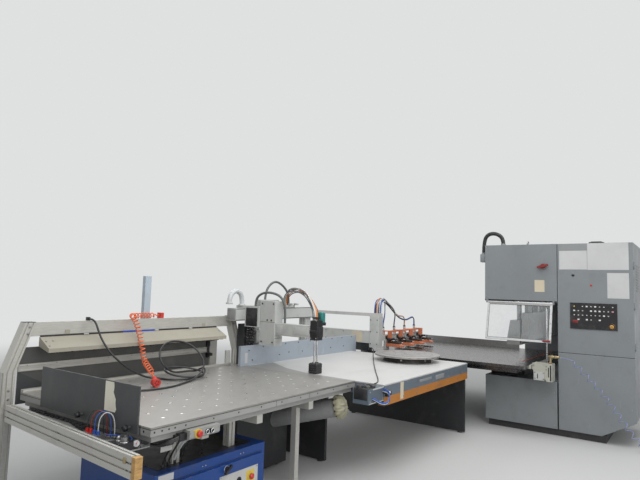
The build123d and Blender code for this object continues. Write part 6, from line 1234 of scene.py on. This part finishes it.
def dress_transfer_unit():
    """Strips, valve bank, elbow pipe, screws, carriage and head fittings, and the press foot's ribs."""
    fitting("slide_strips", "panel_black", bevel=0, blocks=[((-3848, 2524.75, 1266), (-2422, 2525.2, 1273)),
        ((-3848, 2524.75, 1382), (-2422, 2525.2, 1389)), ((-3392, 2524.75, 1262), (-3386, 2525.2, 1392)),
        ((-3146, 2524.75, 1262), (-3138, 2525.2, 1392))])
    fitting("slide_ends", "duct_grey", bevel=2, blocks=[((-3856, 2535, 1272), (-3850, 2645, 1382)),
        ((-2420, 2535, 1272), (-2414, 2645, 1382))],
        screws=heads(LEFT, 6, 4, -3856, (2548, 2632), (1286, 1368)))
    cells = [(-3676 + 27 * column, 985 + 29 * row) for column in range(5) for row in range(8)]
    fitting("valve_rows", "head_black", bevel=1.5,
        blocks=[((x, 2530 - 5 * ((x + z) % 3), z), (x + 22, 2551, z + 23)) for x, z in cells])
    fitting("valve_caps", "valve_metal", bevel=0, sides=10,
        bars=[((x + 8, 2530, z + 14), (x + 8, 2523, z + 14), 4.5, 3.5) for x, z in cells])
    fitting("valve_plugs", "hose_white", bevel=0, sides=8,
        bars=[((x + 16, 2530, z + 7), (x + 16, 2519, z + 7), 2.6) for x, z in cells[::3]])
    fitting("valve_box", "machine_light", bevel=2, blocks=[((-3530, 2518, 1012), (-3402, 2546, 1152)),
        ((-3524, 2516.5, 1018), (-3408, 2519, 1146))], screws=heads(FRONTWARD, 4, 2, (-3520, -3412), 2518,
        (1022, 1142)))
    route = metres((-3700, 2590, 1420), (-3700, 2590, 1478), (-3722, 2590, 1544), (-3790, 2590, 1580),
        (-3862, 2590, 1548), (-3890, 2590, 1484), (-3890, 2590, 1440))
    finish_piece(nurbs("elbow_pipe", route, 0.026), "carriage", "hose_white")
    fitting("elbow_flanges", "machine_light", "carriage",
        bars=[((-3700, 2590, 1419), (-3700, 2590, 1436), 40, 34),
        ((-3890, 2590, 1434), (-3890, 2590, 1452), 36, 36)],
        bolts=[((-3700 + 32 * dx, 2590 + 32 * dy, 1428), UP, 5, 5)
        for dx, dy in ((1, 0), (-1, 0), (0, 1), (0, -1))])
    fitting("mast_screws", "panel_black", "carriage", bevel=0, screws=[((-3685, y, z), LEFT, 9, 3)
        for y, z in ((2236, 1283), (2182, 1283), (2160, 1060), (2310, 1060), (2160, 1450), (2310, 1450))])
    fitting("mast_seams", "panel_black", "carriage", bevel=0,
        blocks=[((-3685.6, 2136, 1262), (-3554.4, 2334, 1265)),
        ((-3676, 2134.2, 1100), (-3564, 2135.4, 1104))])
    fitting("arm_plates", "machine_light", "carriage", bevel=1,
        blocks=[((-3679, 1712, 1160), (-3675, 1900, 1236)), ((-3679, 2040, 1152), (-3675, 2120, 1246))],
        screws=heads(LEFT, 6, 4, -3679, (1730, 1880, 2060, 2100), (1172, 1226)))
    fitting("carriage_rollers", "panel_black", "carriage", bevel=1,
        bars=[((-3690, 2460, 1208), (-3690, 2490, 1208), 24), ((-3550, 2460, 1208), (-3550, 2490, 1208), 24),
        ((-3690, 2440, 1400), (-3690, 2500, 1400), 16)], blocks=[((-3716, 2350, 1210), (-3714, 2510, 1400))])
    fitting("carriage_block", "head_black", "carriage", bevel=3,
        blocks=[((-3530, 2390, 1420), (-3330, 2500, 1462)), ((-3500, 2376, 1428), (-3440, 2392, 1456)),
        ((-3420, 2376, 1428), (-3360, 2392, 1456))])
    fitting("carriage_bar", "machine_light", "carriage", bevel=2,
        blocks=[((-3620, 2400, 1462), (-3310, 2450, 1486)), ((-3616, 2400, 1419), (-3596, 2450, 1464))],
        screws=heads(FRONTWARD, 5, 3, (-3600, -3460, -3330), 2400, 1474))
    fitting("carriage_lugs", "machine_light", "carriage", bevel=1.5,
        blocks=[((x, 2470, 1419), (x + 30, 2520, 1442)) for x in (-3250, -3120, -2990, -2890)])
    fitting("head_trim", "chrome", "carriage", bevel=0.5, sides=14,
        bars=[((-3597.5, 1655, 1118), (-3597.5, 1655, 1126), 15),
        ((-3642.5, 1655, 1118), (-3642.5, 1655, 1126), 15)],
        screws=heads(LEFT, 5, 3, -3666, (1624, 1686), (1140, 1310)))
    fitting("head_block", "head_black", "carriage", bevel=2,
        blocks=[((-3672, 1614, 1180), (-3659, 1700, 1216)), ((-3660, 1600, 1150), (-3582, 1612, 1250)),
        ((-3650, 1622, 1330), (-3596, 1690, 1344))])
    fitting("motor_ribs", "motor_teal", "carriage", bevel=0.5,
        rings=[((-3538, 1655, 1302 + 12 * step), UP, 37, 2.4) for step in range(6)],
        bars=[((-3538, 1655, 1381), (-3538, 1655, 1390), 30, 24)])
    fitting("foot_ribs", "head_black", "press", bevel=1, blocks=[((-3668, 1607, z), (-3572, 1703, z + 7))
        for z in (816, 838, 860, 880)])
    fitting("foot_pad", "panel_black", "press", bevel=1, blocks=[((-3662, 1613, 800.9), (-3578, 1697, 803)),
        ((-3640, 1633, 901), (-3600, 1677, 909))])


# Middle part of the two hoses of each gripper, as x and z
FEED_ARCS = (
    ((-1228, 1420), (-1218, 1300)),
    ((-1150, 1446), (-990, 1372), (-892, 1290)),
    ((-1130, 1440), (-960, 1330), (-800, 1244), (-700, 1240), (-630, 1232), (-583, 1202)),
    ((-1130, 1434), (-940, 1320), (-740, 1216), (-520, 1186), (-390, 1216), (-305, 1230), (-253, 1202)),
)


def dress_feed():
    """Edge strips, plates, screws, hoses and cylinders of the feed arm and its grippers."""
    fitting("feed_edges", "plate_light", "feed", bevel=0.5,
        blocks=[((-1507, 2278, 1057), (-1503, 3955, 1064)), ((-1507, 2278, 906), (-1504, 3955, 911))])
    fitting("feed_screws", "side_dark", "feed", bevel=0, screws=heads(LEFT, 7, 4, -1505,
        range(2700, 3900, 300), (930, 1040)) + heads(LEFT, 8, 4, -1515, (2155, 2255), (900, 1060, 1220)))
    papers("feed_label", "paper_cream", [((-1506, 2561, 915), (0, -172, 0), (0, 0, 140), 4)], "feed")
    fitting("rail_shine", "steel", bevel=0.4, bars=[((-1492, 2292, 903), (-1492, 3148, 903), 3.5)],
        blocks=[((-1494, 2288.5, 806), (-1406, 2290, 900))])
    fitting("crossbar_blocks", "head_black", "feed", bevel=2,
        blocks=[((x - 40, 2150, 950), (x + 40, 2166, 996)) for x in JAWS],
        bars=[((x, 2225, 1098), (x, 2225, 1118), 22, 14) for x in JAWS])
    fitting("jaw_cylinders", "head_black", "jaws", bevel=1,
        bars=[((x + 30, 1950, 917), (x + 30, 2105, 917), 15) for x in JAWS]
        + [((x - 30, 1950, 915), (x - 30, 2105, 915), 12) for x in JAWS])
    fitting("jaw_upper_cylinders", "head_black", "jaws", bevel=1,
        bars=[((x + side, 2010, 958), (x + side, 2146, 958), 14) for x in JAWS for side in (-26, 26)],
        blocks=[((x - 46, 2096, 900), (x + 46, 2120, 960)) for x in JAWS])
    fitting("jaw_upper_caps", "valve_metal", "jaws", bevel=0.5,
        bars=[((x + side, y, 958), (x + side, y + 8, 958), 15) for x in JAWS for side in (-26, 26)
        for y in (2008, 2086)])
    fitting("jaw_rods", "chrome", "jaws", bevel=0.4, sides=12,
        bars=[((x + 30, 1922, 917), (x + 30, 1952, 917), 6) for x in JAWS],
        screws=[((x + side, 1932, 890), (0, -0.3, 1), 5, 3) for x in JAWS for side in (-28, 0)])
    fitting("jaw_straps", "stop_gold", "jaws", bevel=0.5, blocks=[((x - 50, y, 899), (x + 50, y + 10, 903))
        for x in JAWS for y in (1990, 2072)])
    finishes_of = ("hose_white", "hose_deep_blue", "hose_white", "cable_black", "hose_white", "hose_orange",
        "cable_black", "hose_deep_blue")
    for number in range(8):
        jaw_x = JAWS[number // 2]
        side = -8 if number % 2 else 8
        lift = 18 * (number % 3)
        y = 2148 + 15 * number
        route = metres((-1420, y, 1306), (-1418, y, 1392 + lift / 2), (-1380, y, 1464 + lift),
            (-1300, y, 1486 + lift),
            *((x, 2196 + 3 * number, z + lift / 2) for x, z in FEED_ARCS[number // 2]),
            (jaw_x + side, 2225, 1156), (jaw_x + side, 2225, 1114))
        cord_piece(f"feed_hose_{number + 1}", route, 0.0072, finishes_of[number], "feed", fineness=6)


def dress_far_sides():
    """Louvres, rear cover, grips, bolts and vents on the sides that face away from the photograph."""
    fitting("cabinet_louvres", "cabinet_grey", bevel=1.5,
        blocks=[((-820, -829, 1700 + 32 * step), (-420, -824, 1712 + 32 * step)) for step in range(10)]
        + [((-104, -700, 1500 + 32 * step), (-96, -200, 1512 + 32 * step)) for step in range(10)])
    fitting("rear_cover", "cabinet_grey", bevel=2, blocks=[((1088, 70, 760), (1094, 720, 1900)),
        ((1088, 120, 200), (1093, 670, 640))], bolts=heads((1, 0, 0), 8, 5, 1094, (95, 695),
        (790, 1150, 1510, 1870)))
    fitting("rear_grips", "panel_black", bevel=1, blocks=[((1092, 190, 1322), (1099, 330, 1340)),
        ((1092, 460, 1322), (1099, 600, 1340))])
    fitting("side_bolts", "steel", bevel=0, screws=heads((0, 1, 0), 7, 4, (-1070, -400, 300, 1070), 825,
        (1600, 2200)))
    fitting("stand_bolts", "steel", bevel=0, bolts=[((x + 40, 2315, z), (0, 1, 0), 8, 7) for x in (-1310, 575)
        for z in (600, 660)])
    fitting("base_vents", "panel_black", bevel=0.5,
        blocks=[((-5500, 2149.5, 120 + 26 * step), (-4900, 2151, 130 + 26 * step)) for step in range(9)])
    fitting("table_end_cap", "panel_black", bevel=0, blocks=[((-3707.5, 1147, 750), (-3706, 2653, 786))])


make_camera()
make_studio()
dress_nodes()
for node_name, areas in REPAINTS.items():
    for area in areas:
        repaint(node_name, *area)
make_cable()
make_spiral_hose()
make_orange_lead()
make_signal_cable()
make_head_hoses()
dress_cutter_front()
dress_panel()
dress_guard()
dress_conduit()
dress_bracket()
dress_air_table()
dress_deck()
dress_portal()
dress_base()
dress_under_table()
dress_lead_connector()
dress_blower()
dress_transfer_table()
dress_turntable()
dress_transfer_unit()
dress_feed()
dress_far_sides()
